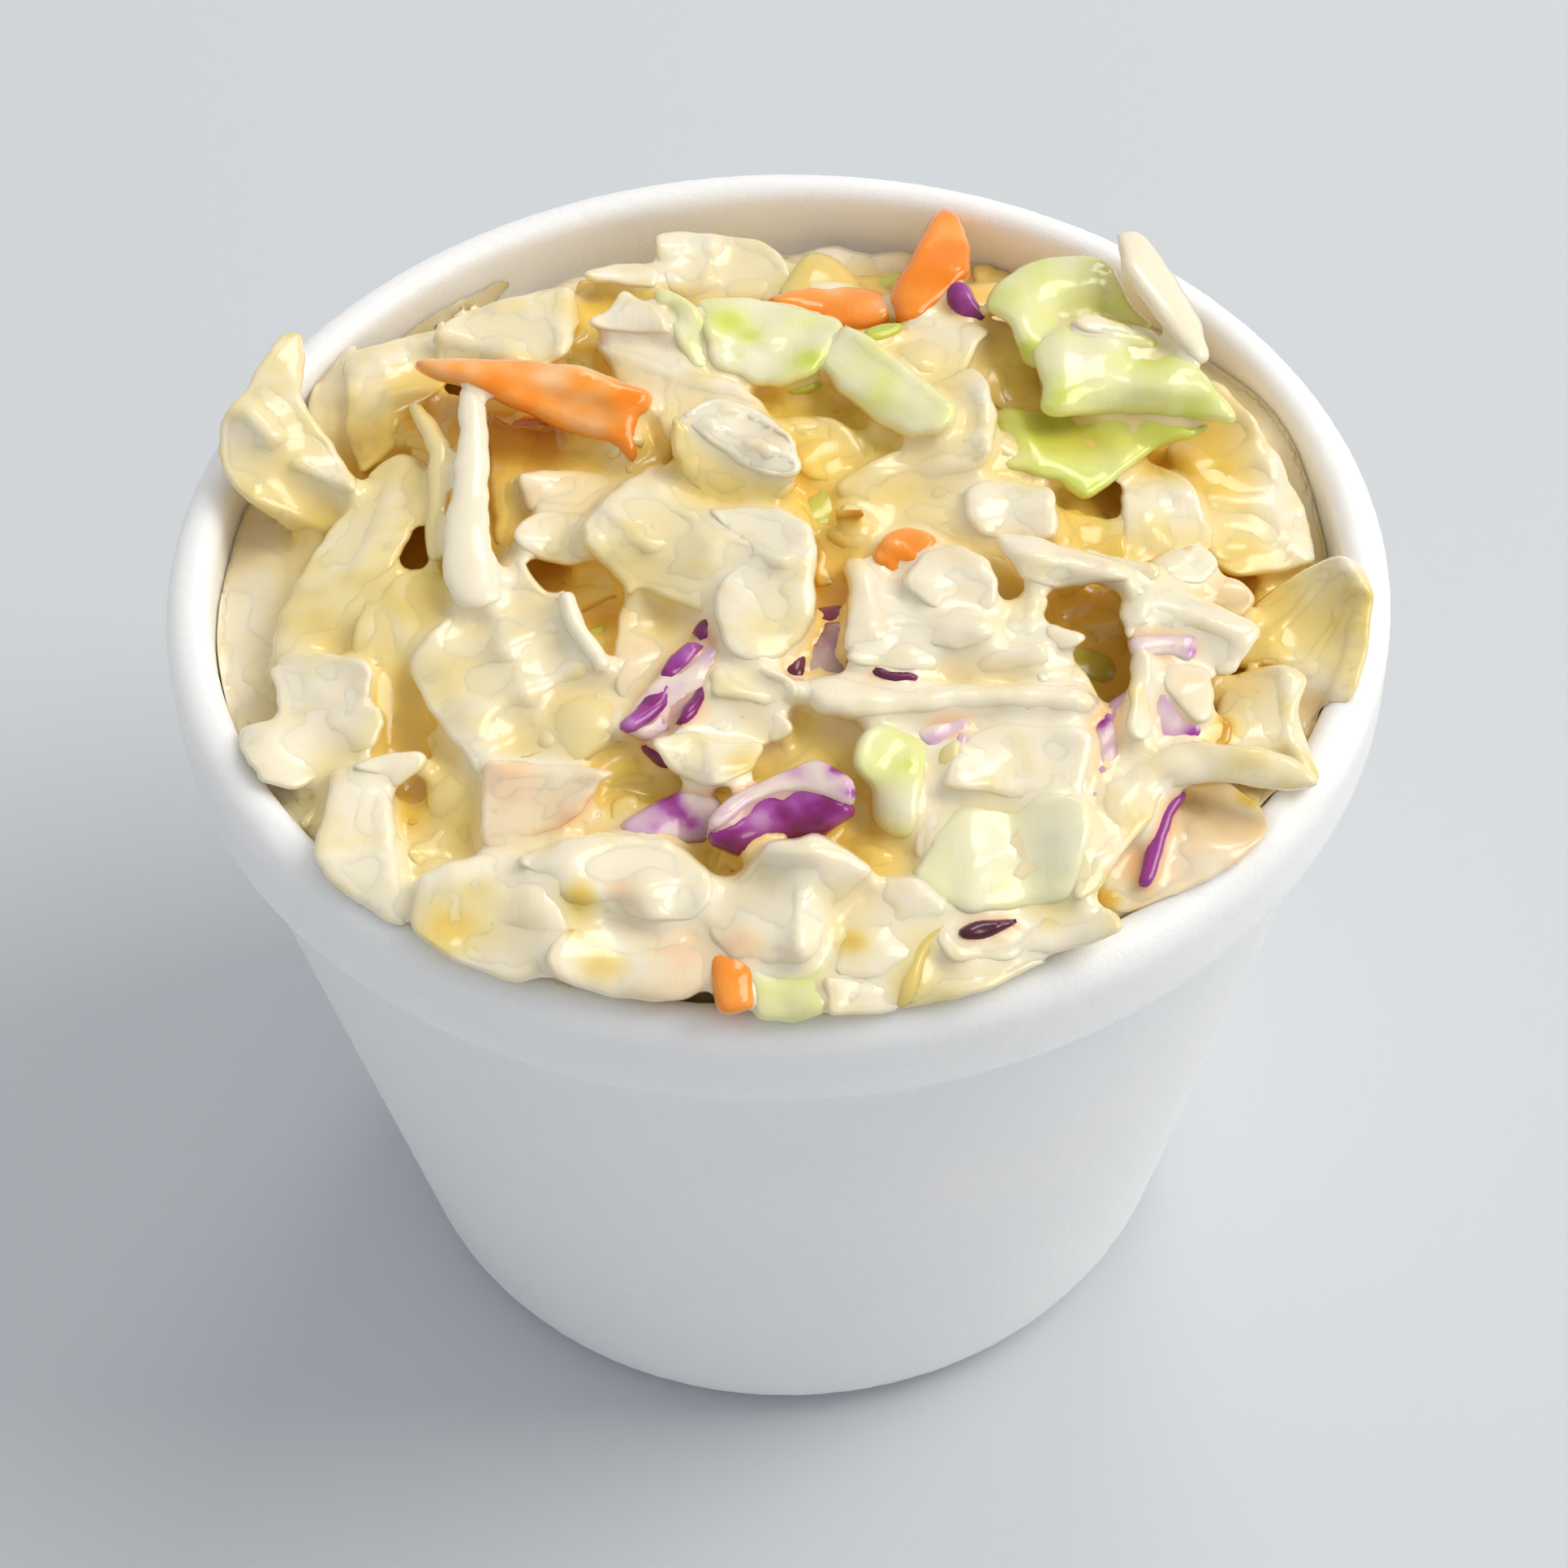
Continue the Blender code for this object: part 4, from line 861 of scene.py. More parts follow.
sheet("red", [(-5.0, -13.8), (-4.7, -15), (-5.2, -16.4), (-6.3, -18.4), (-7.2, -18.6), (-6.3, -16.6), (-5.6, -15.2)], 4.3,
      thick=0.6, tint=0.0, rounding=0.25)
sheet("red", [(-9.8, -20.1), (-8.6, -20.2), (-7.2, -22.4), (-8.6, -22.4)], 2.6, tint=0.0)
sheet("leaf", [(-11, -19), (-9, -20), (-7.4, -21.8), (-6.5, -23.4), (-10, -23), (-10.8, -22)], 1.4, tint=2.5)
sheet("red", [(2.4, -7.9), (5, -7.7), (5.1, -9.4), (2.4, -9.5)], 3.2, (0.0, 0.1), tint=0.3, thick=1.0,
      folds=[(2.4, -8.9, 5, -8.8, 0.25, 0.25)])
sheet("red", [(2.3, -9.3), (5.1, -9.3), (4.5, -11.5), (4.6, -13.5), (6.5, -14.6), (4, -15), (1.4, -14.6), (1.6, -12.3),
              (1.6, -11)], 3.0, (0.0, 0.1), tint=1.3, crown=0.3)
sheet("red", [(0, -13.2), (0.9, -11.9), (1.9, -12.2), (1.7, -14.4), (1.2, -15)], 3.4, thick=0.8, tint=-0.4)
sheet("leaf", [(2.5, -5.8), (4.9, -5.4), (5.1, -8), (2.5, -8.2)], 1.2, tint=2.6)
sheet("leaf", [(-5, -14), (-4.2, -12.8), (-2, -12.7), (-0.7, -13.6), (0.4, -14), (1.4, -14.9), (1.2, -17), (0, -18),
               (-1.5, -17.2), (-3, -16.8), (-5, -16)], 4.5, (0.0, 0.05), tint=0.05, thick=1.4, crown=0.8, crinkle=0.5,
      crinkle_size=3.0)
sheet("leaf", [(-5.2, -15.6), (-3, -15.5), (-1, -16.4), (0.2, -17.8), (1.2, -19.6), (-0.3, -20.6), (-3, -20.4),
               (-5.8, -20), (-6.5, -18)], 3.9, (0.02, 0.25), tint=-0.05, crown=0.5, stains=[(-2, -16.6, 1.0, 0.8)])
sheet("leaf", [(-9.1, -20), (-7, -19.2), (-5.6, -18.8), (-4.8, -20.2), (-2.5, -20.5), (-1, -20.2), (-1.4, -22), (-2.8, -23.8),
               (-4.6, -24.5), (-6.6, -23.8), (-7.4, -22.8), (-8.1, -21.6)], 4.3, (0.03, 0.15), tint=0.2, crown=0.8,
      folds=[(-5, -20, -4.6, -24, 0.4, 0.6)], stains=[(-2.6, -22.3, 1.4, 0.9)])
sheet("leaf", [(-1, -19), (1, -17.8), (4.6, -18), (5.4, -20.8), (6, -26), (3.5, -25), (1, -23), (-2.6, -25), (-3, -23)], 1.8,
      (0.0, 0.1), tint=1.4, crown=0.3, stains=[(4, -19.6, 1.1, -1.8)])
sheet("red", [(-11.3, -27.6), (-9, -26), (-8, -25.2), (-6.5, -24.7), (-4.6, -25), (-3.8, -27), (-4.6, -29), (-6.5, -29.4),
              (-9.5, -29.4)], 2.7, (0.0, 0.12), tint=0.95, crown=0.7,
      stains=[(-7.6, -25.3, 0.8, 0.15), (-7, -26.6, 0.7, 0.3), (-6.2, -27.6, 0.7, 0.4), (-8.6, -27.8, 0.8, 0.7)])
sheet("red", [(-5.2, -28.6), (-3.5, -27), (-2, -25.8), (-0.8, -25), (0.5, -24.6), (2, -24.8), (3.2, -25.2), (4.3, -26),
              (5, -26.9), (3.6, -28.1), (2.4, -29), (1.5, -29.2), (0.8, -29.7), (-0.5, -29.6), (-1.3, -29.4), (-2.2, -30.4),
              (-3.2, -30.5), (-4.6, -29.6)], 4.0, (0.02, 0.28), thick=1.8, edge=0.6, tint=0.22, crown=0.9, along=0,
      stains=[(-1.6, -27.4, 1.3, 0.75), (-3.6, -29.3, 1.0, 0.0), (0, -27, 0.5, 0.0), (3.6, -27.6, 0.7, 0.6)])
sheet("red", [(-5.2, -28.2), (-4.6, -26.6), (-2.6, -24.8), (-0.6, -23.8), (0.6, -23), (1.6, -22.4), (2.6, -22.3), (3.6, -23.1),
              (4.6, -24.4), (4.9, -26), (4.2, -26.5), (3.2, -25.6), (2, -25.1), (0.5, -25), (-0.2, -24.8), (-1.5, -25.4),
              (-3.4, -27.1), (-4.7, -28.5)], 4.7, (0.02, 0.1), thick=0.9, tint=1.15, crown=0.5, along=30,
      stains=[(3.6, -23.2, 0.5, 0.1), (0.9, -23.3, 0.8, 0.8), (4.6, -25.3, 0.4, 0.3)])
sheet("leaf", [(-7.6, -28.6), (-4.6, -28.8), (-2, -30), (-2.4, -32.4), (-4.8, -32.3), (-6.8, -31)], 0.8, tint=2.1)
sheet("leaf", [(3.4, -28), (4.8, -25.5), (5.3, -23.5), (6.8, -26), (8.6, -29.5), (8.4, -32), (6, -32.8), (4, -31)], -0.5,
      tint=3.0)

# %% [markdown]
# ### Carrot
# Long sticks and slices, some with a coat of dressing that turns their tops pale.

# %% Carrot
sheet("carrot", [(-27, 18.6), (-26.4, 19.1), (-24, 19), (-20, 18.9), (-17, 18.4), (-14, 17.6), (-12, 16.6), (-10.5, 15.4),
                 (-9.2, 15.1), (-8.8, 14), (-9.1, 13), (-10.1, 12.5), (-10.2, 10), (-9.9, 8), (-10.4, 7.3), (-11.2, 9),
                 (-12.5, 10.2), (-15, 11.1), (-18, 13.1), (-20.5, 14.7), (-23, 16.4), (-25.5, 17.4)], 5.1, (0.0, 0.05),
      thick=2.4, tint=0.62, crown=0.9, along=-15, folds=[(-24, 18, -12, 14.5, 0.3, 0.8)],
      stains=[(-20.5, 15.8, 1.6, -0.1), (-18, 14, 0.9, 0.0), (-10.7, 14, 1.5, -0.2), (-10.6, 10.5, 1.4, -0.2),
              (-14, 15.8, 1.0, 0.1), (-16.5, 16.5, 1.2, 1.1)])
sheet("carrot", [(-0.6, 25.8), (1.5, 26.9), (4, 27.6), (7, 27.4), (8.9, 26.6), (9.5, 24.5), (9, 23), (7, 22.4), (5, 22.6),
                 (3.5, 23.6), (1.5, 24.8)], 0.2, tint=0.2, crown=0.9, stains=[(8.6, 25, 1.2, 0.9), (5, 27, 1.4, 0.8)])
sheet("carrot", [(9.9, 22.6), (9.3, 26), (10.6, 29), (11.8, 32), (13.4, 36), (14.4, 36.4), (15.2, 35), (15.8, 31),
                 (15.4, 28), (14.2, 26.2), (13.1, 24.8), (12.3, 24), (11.3, 22.6)], 2.0, (0.05, 0.1), thick=2.6, tint=0.0,
      crown=0.8, along=70, stains=[(15, 33, 1.2, 0.5)])
sheet("red", [(13.8, 27.2), (14.8, 27.2), (15.4, 26), (16.4, 23.4), (16.7, 22.5), (15, 22.6), (13.9, 23.8), (13.7, 25.5)], 2.2,
      tint=0.3, stains=[(15.8, 23, 0.8, 0.0)])

# %% [markdown]
# ### The front
# The heap spills up to the lip here.

# %% Front
# Golden stains and the leaf with a tone of 1.5 in this block are painted shade in the hollows between the front leaves.
sheet("leaf", [(-24.6, -31.5), (-22, -30.2), (-20, -29.7), (-17.6, -30), (-15.4, -32), (-14.4, -34.5), (-13.5, -37.5),
               (-14.5, -40.5), (-18.5, -41), (-22, -38.9), (-24.8, -36.2), (-25, -33.5)], 2.2, (0.0, 0.16), tint=0.1,
      crown=1.7, thick=1.6, crinkle=0.6, stains=[(-22, -36, 2.4, 1.2), (-17, -31.5, 1.5, 0.0), (-20.5, -33, 1.5, 0.7)])
sheet("leaf", [(-18, -30.3), (-15.5, -29), (-13.5, -28.2), (-11, -28.1), (-9, -28.6), (-7.2, -28.8), (-6.4, -30.3),
               (-4.8, -31.6), (-4.6, -34), (-5.8, -36.2), (-9, -36), (-12, -35.2), (-14, -34.8), (-15.6, -33.3)], 3.4,
      (0.0, 0.16), tint=0.1, crown=1.6, thick=1.6, crinkle=0.6,
      stains=[(-13.2, -33.8, 1.6, 1.5), (-10.8, -33, 1.6, -0.7), (-8.5, -31, 1.5, -0.1)])
sheet("leaf", [(-14.6, -36), (-12.8, -34.5), (-9, -34.6), (-5, -35), (-3.8, -38), (-4.4, -41.2), (-7, -43), (-11, -42.6),
               (-14.6, -41), (-16, -39)], 2.2, (0.0, 0.16), tint=-0.45, crown=1.4, thick=1.4, crinkle=0.4,
      stains=[(-13.5, -36.3, 1.3, 1.6), (-12, -39.5, 2.0, 0.9)])
sheet("leaf", [(-6.6, -32), (-3, -32.4), (-2.6, -31.4), (-2, -30.2), (-1.3, -29), (0, -28.9), (0.8, -29.4), (1.6, -28.4),
               (2.6, -28.7), (4.8, -30.6), (5.9, -32), (4.8, -33.4), (3.2, -35.4), (2.6, -38), (1.5, -39.8), (-1, -40.4),
               (-3.5, -39.6), (-5.2, -37.4), (-5.8, -34.5)], 4.0, (0.0, 0.16), tint=0.05, crown=1.5, thick=1.8,
      crinkle=0.5, folds=[(1, -34, 0.9, -38.8, 1.0, 0.9), (-1, -30.3, 2, -30.1, 0.4, 0.6)],
      stains=[(-3, -38, 2.0, -0.8), (0.9, -36.5, 1.3, -0.05)])
sheet("leaf", [(1.5, -35), (5, -34), (6, -37), (4.6, -40.4), (1.5, -40.5)], 1.8, tint=1.5)
sheet("carrot", [(-5.1, -38.8), (-3.5, -38.2), (-2.4, -39.5), (-2.3, -42), (-2.2, -43.6), (-4.4, -43.9), (-4.9, -41.5)], 3.0,
      (0.0, 0.12), tint=0.25, crown=0.7)
sheet("green", [(-2.8, -40.2), (1, -39.2), (3, -40.6), (3, -43.4), (0.6, -44.8), (-2, -44.4)], 2.2, (0.0, 0.12), tint=-0.1,
      crown=0.9, thick=1.2)
sheet("leaf", [(3.5, -36), (6, -32.6), (8.8, -32.6), (10.6, -35), (10, -37.5), (10.6, -40), (8, -41.6), (4, -41.6),
               (2.4, -40.4), (3, -38)], 2.8, (0.0, 0.15), tint=0.0, crown=1.2, thick=1.4, stains=[(4.2, -38, 1.2, 1.3)])
sheet("leaf", [(2.2, -40.8), (6, -41), (10, -39.6), (15, -39), (17.4, -40.3), (12, -43), (6, -44.4), (2.4, -44.3)], 1.4,
      (0.0, 0.12), tint=0.25, crown=1.0, thick=1.3)
sheet("leaf", [(9.6, -36.3), (11.5, -35.4), (15, -35.6), (19.5, -35.2), (21.6, -36), (22.2, -37.6), (19, -39.4),
               (14, -40.4), (10.5, -40.2), (9.4, -38.4)], 2.2, (0.0, 0.12), tint=0.05, crown=1.0, thick=1.2,
      stains=[(12, -36, 2.0, 0.8), (17.5, -36, 1.4, 1.1)])
sheet("red", [(10.9, -37.3), (12, -36.8), (15.5, -36.6), (13.5, -37.7), (12, -38.4), (11.2, -38.2)], 3.25, thick=0.8,
      tint=-0.4)

# %% [markdown]
# ### Along the wall
# Broad pale leaves lie against the wall and close the gap between the heap and the cup.

# %% Along the wall
sheet("leaf", [(-42.5, 9), (-38, 5), (-35, -3), (-35.5, -13), (-34, -23), (-31, -30), (-35.5, -31), (-40, -21), (-42.8, -10),
               (-43.5, 0)], -3.0, tint=0.0, crown=0.8)
sheet("leaf", [(-41, 20), (-36, 18), (-30, 24), (-24, 28), (-22, 33), (-30, 31), (-37, 27)], -4.0, tint=0.2)
sheet("leaf", [(30, 25), (36, 20), (41, 11), (43, 2), (43, -5), (38, -6), (34, 2), (33, 12), (29, 19)], -2.6, tint=0.2,
      crown=0.8)
# The golden leaves at the back right and on the right wall, tones 0.9 and 1.2, are painted shade in the hollows against
# the wall.
sheet("leaf", [(16, 31), (21, 32), (27, 29), (31, 25), (32, 19), (28, 17), (23, 21), (17, 25)], -4.8, tint=0.9)
sheet("leaf", [(35.5, -21), (37.5, -22), (34, -30), (28, -36.8), (20, -40.5), (18, -37), (27, -32), (33, -26)], -1.6,
      tint=-0.1, crown=0.8)
sheet("leaf", [(38, -3), (41.6, -4), (41.8, -10), (40.8, -15.5), (38.8, -21), (36.5, -25.5), (34.5, -23), (35.5, -14)], -2.4,
      tint=1.2, crown=0.8)
sheet("leaf", [(-38.5, -18), (-33, -18), (-28, -28), (-23, -34), (-24, -38), (-31, -33.5), (-36.5, -26)], -1.6, tint=0.3)

for name, pile in PILES.items():
    print(f"{name}: {pile.count} pieces, {sum(len(f) for f in pile.faces)} faces")

# %% [markdown]
# ## The heap
# A cup this size is filled and then heaped. The heap is a low dome that falls away to the wall at the back and at the
# sides and stays high at the front. The core follows it a few millimetres down, and small shreds fill the space
# between the core and the big pieces.

# %% Heap shape
HEAP_CROWN = 3.0
HEAP_DROP = 9.5
HEAP_ROUND = 2.4
FRONT_FILL = 8.0
FRONT_SPREAD = 55.0

def heap_height(x, y):
    """Height of the heap above the rim, in mm."""
    share = np.hypot(x, y) / MOUTH_RADIUS
    turn = np.degrees(np.abs(np.arctan2(x, -y)))
    front = np.clip(1 - turn / (2 * FRONT_SPREAD), 0, 1)
    front = front * front * (3 - 2 * front)
    return HEAP_CROWN - HEAP_DROP * share ** HEAP_ROUND + FRONT_FILL * front * share ** 3

def wall_limit(z):
    """Largest radius at which food can lie at a height in mm above the rim."""
    depth = np.minimum(z, 0)
    wall = np.minimum(BASE_RADIUS + TAPER * (RIM_Z + depth) - WALL, MOUTH_RADIUS)
    drop = np.clip(-z, 0, LIP_ROUND_IN)
    lip = MOUTH_RADIUS + LIP_ROUND_IN - np.sqrt(LIP_ROUND_IN ** 2 - (LIP_ROUND_IN - drop) ** 2)
    return np.where(z > 0, RIM_RADIUS + 5, np.where(z > -LIP_ROUND_IN, lip, wall)) - 0.15

def read_points(mesh):
    points = np.empty(len(mesh.vertices) * 3)
    mesh.vertices.foreach_get("co", points)
    return points.reshape(-1, 3) / MM

def press_inside(piece):
    """Press what would cut into the cup's wall flat against it."""
    points = read_points(piece.data)
    radius = np.hypot(points[:, 0], points[:, 1]) + 1e-9
    shrink = np.minimum(1, wall_limit(points[:, 2] - RIM_Z) / radius)
    points[:, :2] *= shrink[:, None]
    piece.data.vertices.foreach_set("co", (points * MM).ravel())
    piece.data.update()
    return int((shrink < 1).sum())

CELL = 0.5
FIELD = 47.0
NEAR = 6

def swept(grid, reach, join):
    """Join every cell with its neighbours within a reach, along both directions."""
    for axis in (0, 1):
        grid = join([np.roll(grid, step, axis) for step in range(-reach, reach + 1)], 0)
    return grid

def crest_map(pieces):
    """The height of what stands round each place of the heap, in mm above the rim."""
    side = int(2 * FIELD / CELL)
    tops = np.full((side, side), -14.0)
    for piece in pieces:
        points = read_points(piece.data)
        column, row = ((points[:, :2] + FIELD) / CELL).astype(int).T
        np.maximum.at(tops, (row, column), points[:, 2] - RIM_Z)
    return swept(swept(tops, NEAR, np.max), 3, np.mean)

def mark_shade_depth(piece, crests):
    """Store how deep in a gap each point lies, from 0 on top to 1 in the deepest gaps, for the golden glow and brown
    shade that the finishes paint there.
    """
    points = read_points(piece.data)
    x, y, z = points[:, 0], points[:, 1], points[:, 2] - RIM_Z
    column, row = ((points[:, :2] + FIELD) / CELL).astype(int).T
    share = np.hypot(x, y) / MOUTH_RADIUS
    gap = (crests[row, column] - z - 0.8) / 4.5
    sunk = (heap_height(x, y) + 1.0 - z) / 7.0
    depth = piece.data.attributes.get("depth") or piece.data.attributes.new("depth", "FLOAT", "POINT")
    # painted shade: the deeper a point lies in its gap, the more golden and then brown its finish paints it
    value = 0.75 * np.clip(gap, 0, 1) + 0.3 * np.clip(sunk, 0, 1)
    depth.data.foreach_set("value", np.clip(value, 0, 1) * (1 - 0.7 * np.clip((share - 0.78) / 0.15, 0, 1)))

# %% Core
CORE_SINK = 2.7

WALL_BANK = 4.0

def core_height(x, y):
    share = np.hypot(x, y) / MOUTH_RADIUS
    return heap_height(x, y) - CORE_SINK + WALL_BANK * share ** 6 + 0.7 * waves(x, y, 7.0, 5)

def turned(name, section, steps):
    """Turn a section, given in mm, about the upright axis into a closed object."""
    mesh = bpy.data.meshes.new(name)
    edges = [(i, i + 1) for i in range(len(section) - 1)]
    mesh.from_pydata([(x * MM, 0.0, z * MM) for x, z in section], edges, [])
    piece = bpy.data.objects.new(name, mesh)
    bpy.context.scene.collection.objects.link(piece)
    turn = piece.modifiers.new("turn", "SCREW")
    turn.steps = turn.render_steps = steps
    turn.use_merge_vertices = True
    turn.merge_threshold = 0.00001
    return piece

def make_core(name, foot):
    """The heap's solid inside, from its uneven top down to a level a little under foot."""
    top = RIM_Z - 10.0
    edge = inner_radius(top) - 0.3
    section = [(edge * i / 64, top) for i in range(65)]
    section += [(inner_radius(foot) - 0.3, foot), (inner_radius(foot) - 6.0, foot - 4), (0.0, foot - 4)]
    core = bake(turned(name, section, 180))
    points = read_points(core.data)
    on_top = points[:, 2] > top - 0.01
    points[on_top, 2] = RIM_Z + core_height(points[on_top, 0], points[on_top, 1])
    core.data.vertices.foreach_set("co", (points * MM).ravel())
    core.data.update()
    return core

core = make_core("slaw_core", FLOOR + FLOOR_ROUND + 0.2)
print("core:", len(core.data.polygons), "faces")

# %% [markdown]
# ### Small shreds
# Between the big pieces lie hundreds of small ones. A dozen shreds of each kind are cut, and Geometry Nodes
# scatters copies of them over a surface just under the heap, each turned, tilted and lifted at random from a fixed seed.

# %% Shreds to scatter
def make_shreds(name, kind, count, length, width, **more):
    """A collection of a few different shreds that lie about the origin."""
    collection = bpy.data.collections.new(name)
    draw = np.random.default_rng(len(name) + count)
    for i in range(count):
        pile = Pile()
        long, half = draw.uniform(*length), draw.uniform(*width)
        bend = draw.uniform(-0.25, 0.25) * long
        line = [(-long / 2, 0, 0), (0, bend, draw.uniform(0, 0.8)), (long / 2, draw.uniform(-0.5, 0.5), 0)]
        wide = [half * draw.uniform(0.5, 1), half, half * draw.uniform(0.4, 1)]
        tints = more.get("tints", (0, 1))
        settings = {key: value for key, value in more.items() if key != "tints"}
        cut_strip(pile, line, wide, seed=i + 1, seen=False, fine=0.55, tint=draw.uniform(*tints), **settings)
        shred = pile_mesh(pile, f"{name}_{i}")
        shred.data.transform(Matrix.Translation((0, 0, -RIM_Z * MM)))
        bpy.context.scene.collection.objects.unlink(shred)
        collection.objects.link(shred)
    return collection

# %% Scatter tree
def scatter_tree():
    """Geometry Nodes: scatter a collection's shreds over a surface."""
    tree = bpy.data.node_groups.new("scatter_shreds", "GeometryNodeTree")
    for name, kind in (("Surface", "NodeSocketGeometry"), ("Shreds", "NodeSocketCollection"), ("Spacing", "NodeSocketFloat"),
                       ("Density", "NodeSocketFloat"), ("Tilt", "NodeSocketFloat"), ("Lift", "NodeSocketFloat"),
                       ("Seed", "NodeSocketInt"), ("Material", "NodeSocketMaterial")):
        tree.interface.new_socket(name, in_out="INPUT", socket_type=kind)
    tree.interface.new_socket("Geometry", in_out="OUTPUT", socket_type="NodeSocketGeometry")
    given = add_node(tree, "NodeGroupInput").outputs
    points = add_node(tree, "GeometryNodeDistributePointsOnFaces", {"distribute_method": "POISSON"}, Mesh=given["Surface"],
                      Distance_Min=given["Spacing"], Density_Max=given["Density"], Seed=given["Seed"])
    shreds = add_node(tree, "GeometryNodeCollectionInfo", {}, Collection=given["Shreds"], Separate_Children=True,
                      Reset_Children=True)
    low = add_node(tree, "ShaderNodeMath", {"operation": "MULTIPLY"}, i0=given["Tilt"], i1=-1.0)
    least = add_node(tree, "ShaderNodeCombineXYZ", {}, X=low.outputs[0], Y=low.outputs[0], Z=0.0)
    most = add_node(tree, "ShaderNodeCombineXYZ", {}, X=given["Tilt"], Y=given["Tilt"], Z=2 * math.pi)
    angles = add_node(tree, "FunctionNodeRandomValue", {"data_type": "FLOAT_VECTOR"}, i0=least.outputs[0], i1=most.outputs[0],
                      Seed=given["Seed"])
    turn = add_node(tree, "FunctionNodeEulerToRotation", {}, i0=angles.outputs["Value"])
    both = add_node(tree, "FunctionNodeRotateRotation", {"rotation_space": "LOCAL"}, i0=points.outputs["Rotation"],
                    i1=turn.outputs[0])
    sizes = add_node(tree, "FunctionNodeRandomValue", {"data_type": "FLOAT"}, i2=0.75, i3=1.3, Seed=given["Seed"])
    drop = add_node(tree, "ShaderNodeMath", {"operation": "MULTIPLY"}, i0=given["Lift"], i1=-1.0)
    lift = add_node(tree, "FunctionNodeRandomValue", {"data_type": "FLOAT"}, i2=drop.outputs[0], i3=given["Lift"],
                    Seed=given["Seed"])
    rise = add_node(tree, "ShaderNodeCombineXYZ", {}, Z=lift.outputs[1])
    raised = add_node(tree, "GeometryNodeSetPosition", {}, Geometry=points.outputs["Points"], Offset=rise.outputs[0])
    copies = add_node(tree, "GeometryNodeInstanceOnPoints", {}, Points=raised.outputs[0], Instance=shreds.outputs[0],
                      Pick_Instance=True, Rotation=both.outputs[0], Scale=sizes.outputs[1])
    whole = add_node(tree, "GeometryNodeRealizeInstances", {}, i0=copies.outputs[0])
    finish = add_node(tree, "GeometryNodeSetMaterial", {}, Geometry=whole.outputs[0], Material=given["Material"])
    result = add_node(tree, "NodeGroupOutput")
    tree.links.new(finish.outputs[0], result.inputs[0])
    return tree

def helper_surface(name, sink, reach):
    """A disc that follows the heap a little below it, for the shreds to lie on."""
    rings, steps = 24, 72
    radius = np.linspace(0, reach, rings + 1)[1:, None]
    angle = np.linspace(0, 2 * math.pi, steps, endpoint=False)[None]
    x, y = (radius * np.cos(angle)).ravel(), (radius * np.sin(angle)).ravel()
    x, y = np.append(x, 0), np.append(y, 0)
    points = np.stack([x, y, RIM_Z + heap_height(x, y) - sink], 1) * MM
    grid = np.arange(rings * steps).reshape(rings, steps)
    after = np.roll(grid, -1, 1)
    faces = np.stack([grid[:-1], grid[1:], after[1:], after[:-1]], 2).reshape(-1, 4).tolist()
    faces += [(rings * steps, int(a), int(b)) for a, b in zip(grid[0], after[0])]
    mesh = bpy.data.meshes.new(name)
    mesh.from_pydata(points.tolist(), [], faces)
    surface = bpy.data.objects.new(name, mesh)
    bpy.context.scene.collection.objects.link(surface)
    return surface

SCATTER = scatter_tree()

def scatter(name, shreds, sink, reach, spacing, seed, material, tilt=0.5, lift=0.8):
    """Scatter a collection of shreds and bake the result into one mesh."""
    surface = helper_surface(name, sink, reach)
    modifier = surface.modifiers.new("scatter", "NODES")
    modifier.node_group = SCATTER
    for key, value in (("Shreds", shreds), ("Spacing", spacing * MM), ("Density", 400000.0), ("Tilt", tilt),
                       ("Lift", lift * MM), ("Seed", seed), ("Material", material)):
        set_input(modifier, key, value)
    bake(surface)
    print(f"{name}: {len(surface.data.polygons)} faces")
    return surface

# %% [markdown]
# ## Finishes of the salad
# Raw cabbage is crisp, wet and slightly see-through, and the dressing is an emulsion of oil and egg: creamy, glossy and
# cloudy. Light enters all of them and comes out a little way off, redder than it went in, which makes the thin gaps
# glow golden. So every food finish uses subsurface scattering, a satin surface, and a wet coat on top. Besides that,
# a golden glow and brown shade are painted into every food colour in the gaps, from how deep each point lies in its
# gap.

# %% Food finishes
def food_material(name, roughness, scatter_weight, scatter_radius, scatter_scale, coat):
    material, tree, shader = new_material(name)
    shader.inputs["Roughness"].default_value = roughness
    shader.inputs["IOR"].default_value = 1.4
    shader.inputs["Subsurface Weight"].default_value = scatter_weight
    shader.inputs["Subsurface Radius"].default_value = scatter_radius
    shader.inputs["Subsurface Scale"].default_value = scatter_scale * MM
    shader.inputs["Coat Weight"].default_value = coat
    shader.inputs["Coat Roughness"].default_value = 0.06
    return material, tree, shader

def mix(tree, factor, low, high):
    """A colour between two colours or colour sockets."""
    node = add_node(tree, "ShaderNodeMix", {"data_type": "RGBA"}, i0=factor)
    for socket, value in ((node.inputs[6], low), (node.inputs[7], high)):
        if isinstance(value, str):
            socket.default_value = linear(value)
        else:
            tree.links.new(value, socket)
    return node.outputs[2]

def attribute(tree, name):
    return add_node(tree, "ShaderNodeAttribute", {"attribute_name": name}).outputs

def spread(tree, value, low, high):
    """A value's range from low to high, as 0 to 1."""
    return add_node(tree, "ShaderNodeMapRange", {}, Value=value, From_Min=low, From_Max=high).outputs[0]

def fibres(tree, width, length):
    """Noise that is drawn out along a piece's own length, for its fibres and fine veins, sized in mm."""
    grain = attribute(tree, "grain")["Vector"]
    stretched = add_node(tree, "ShaderNodeMapping", {}, Vector=grain, Scale=(1 / length, 1 / width, 7.3))
    return add_node(tree, "ShaderNodeTexNoise", {}, Vector=stretched.outputs[0], Scale=1.0, Detail=2.0).outputs["Fac"]

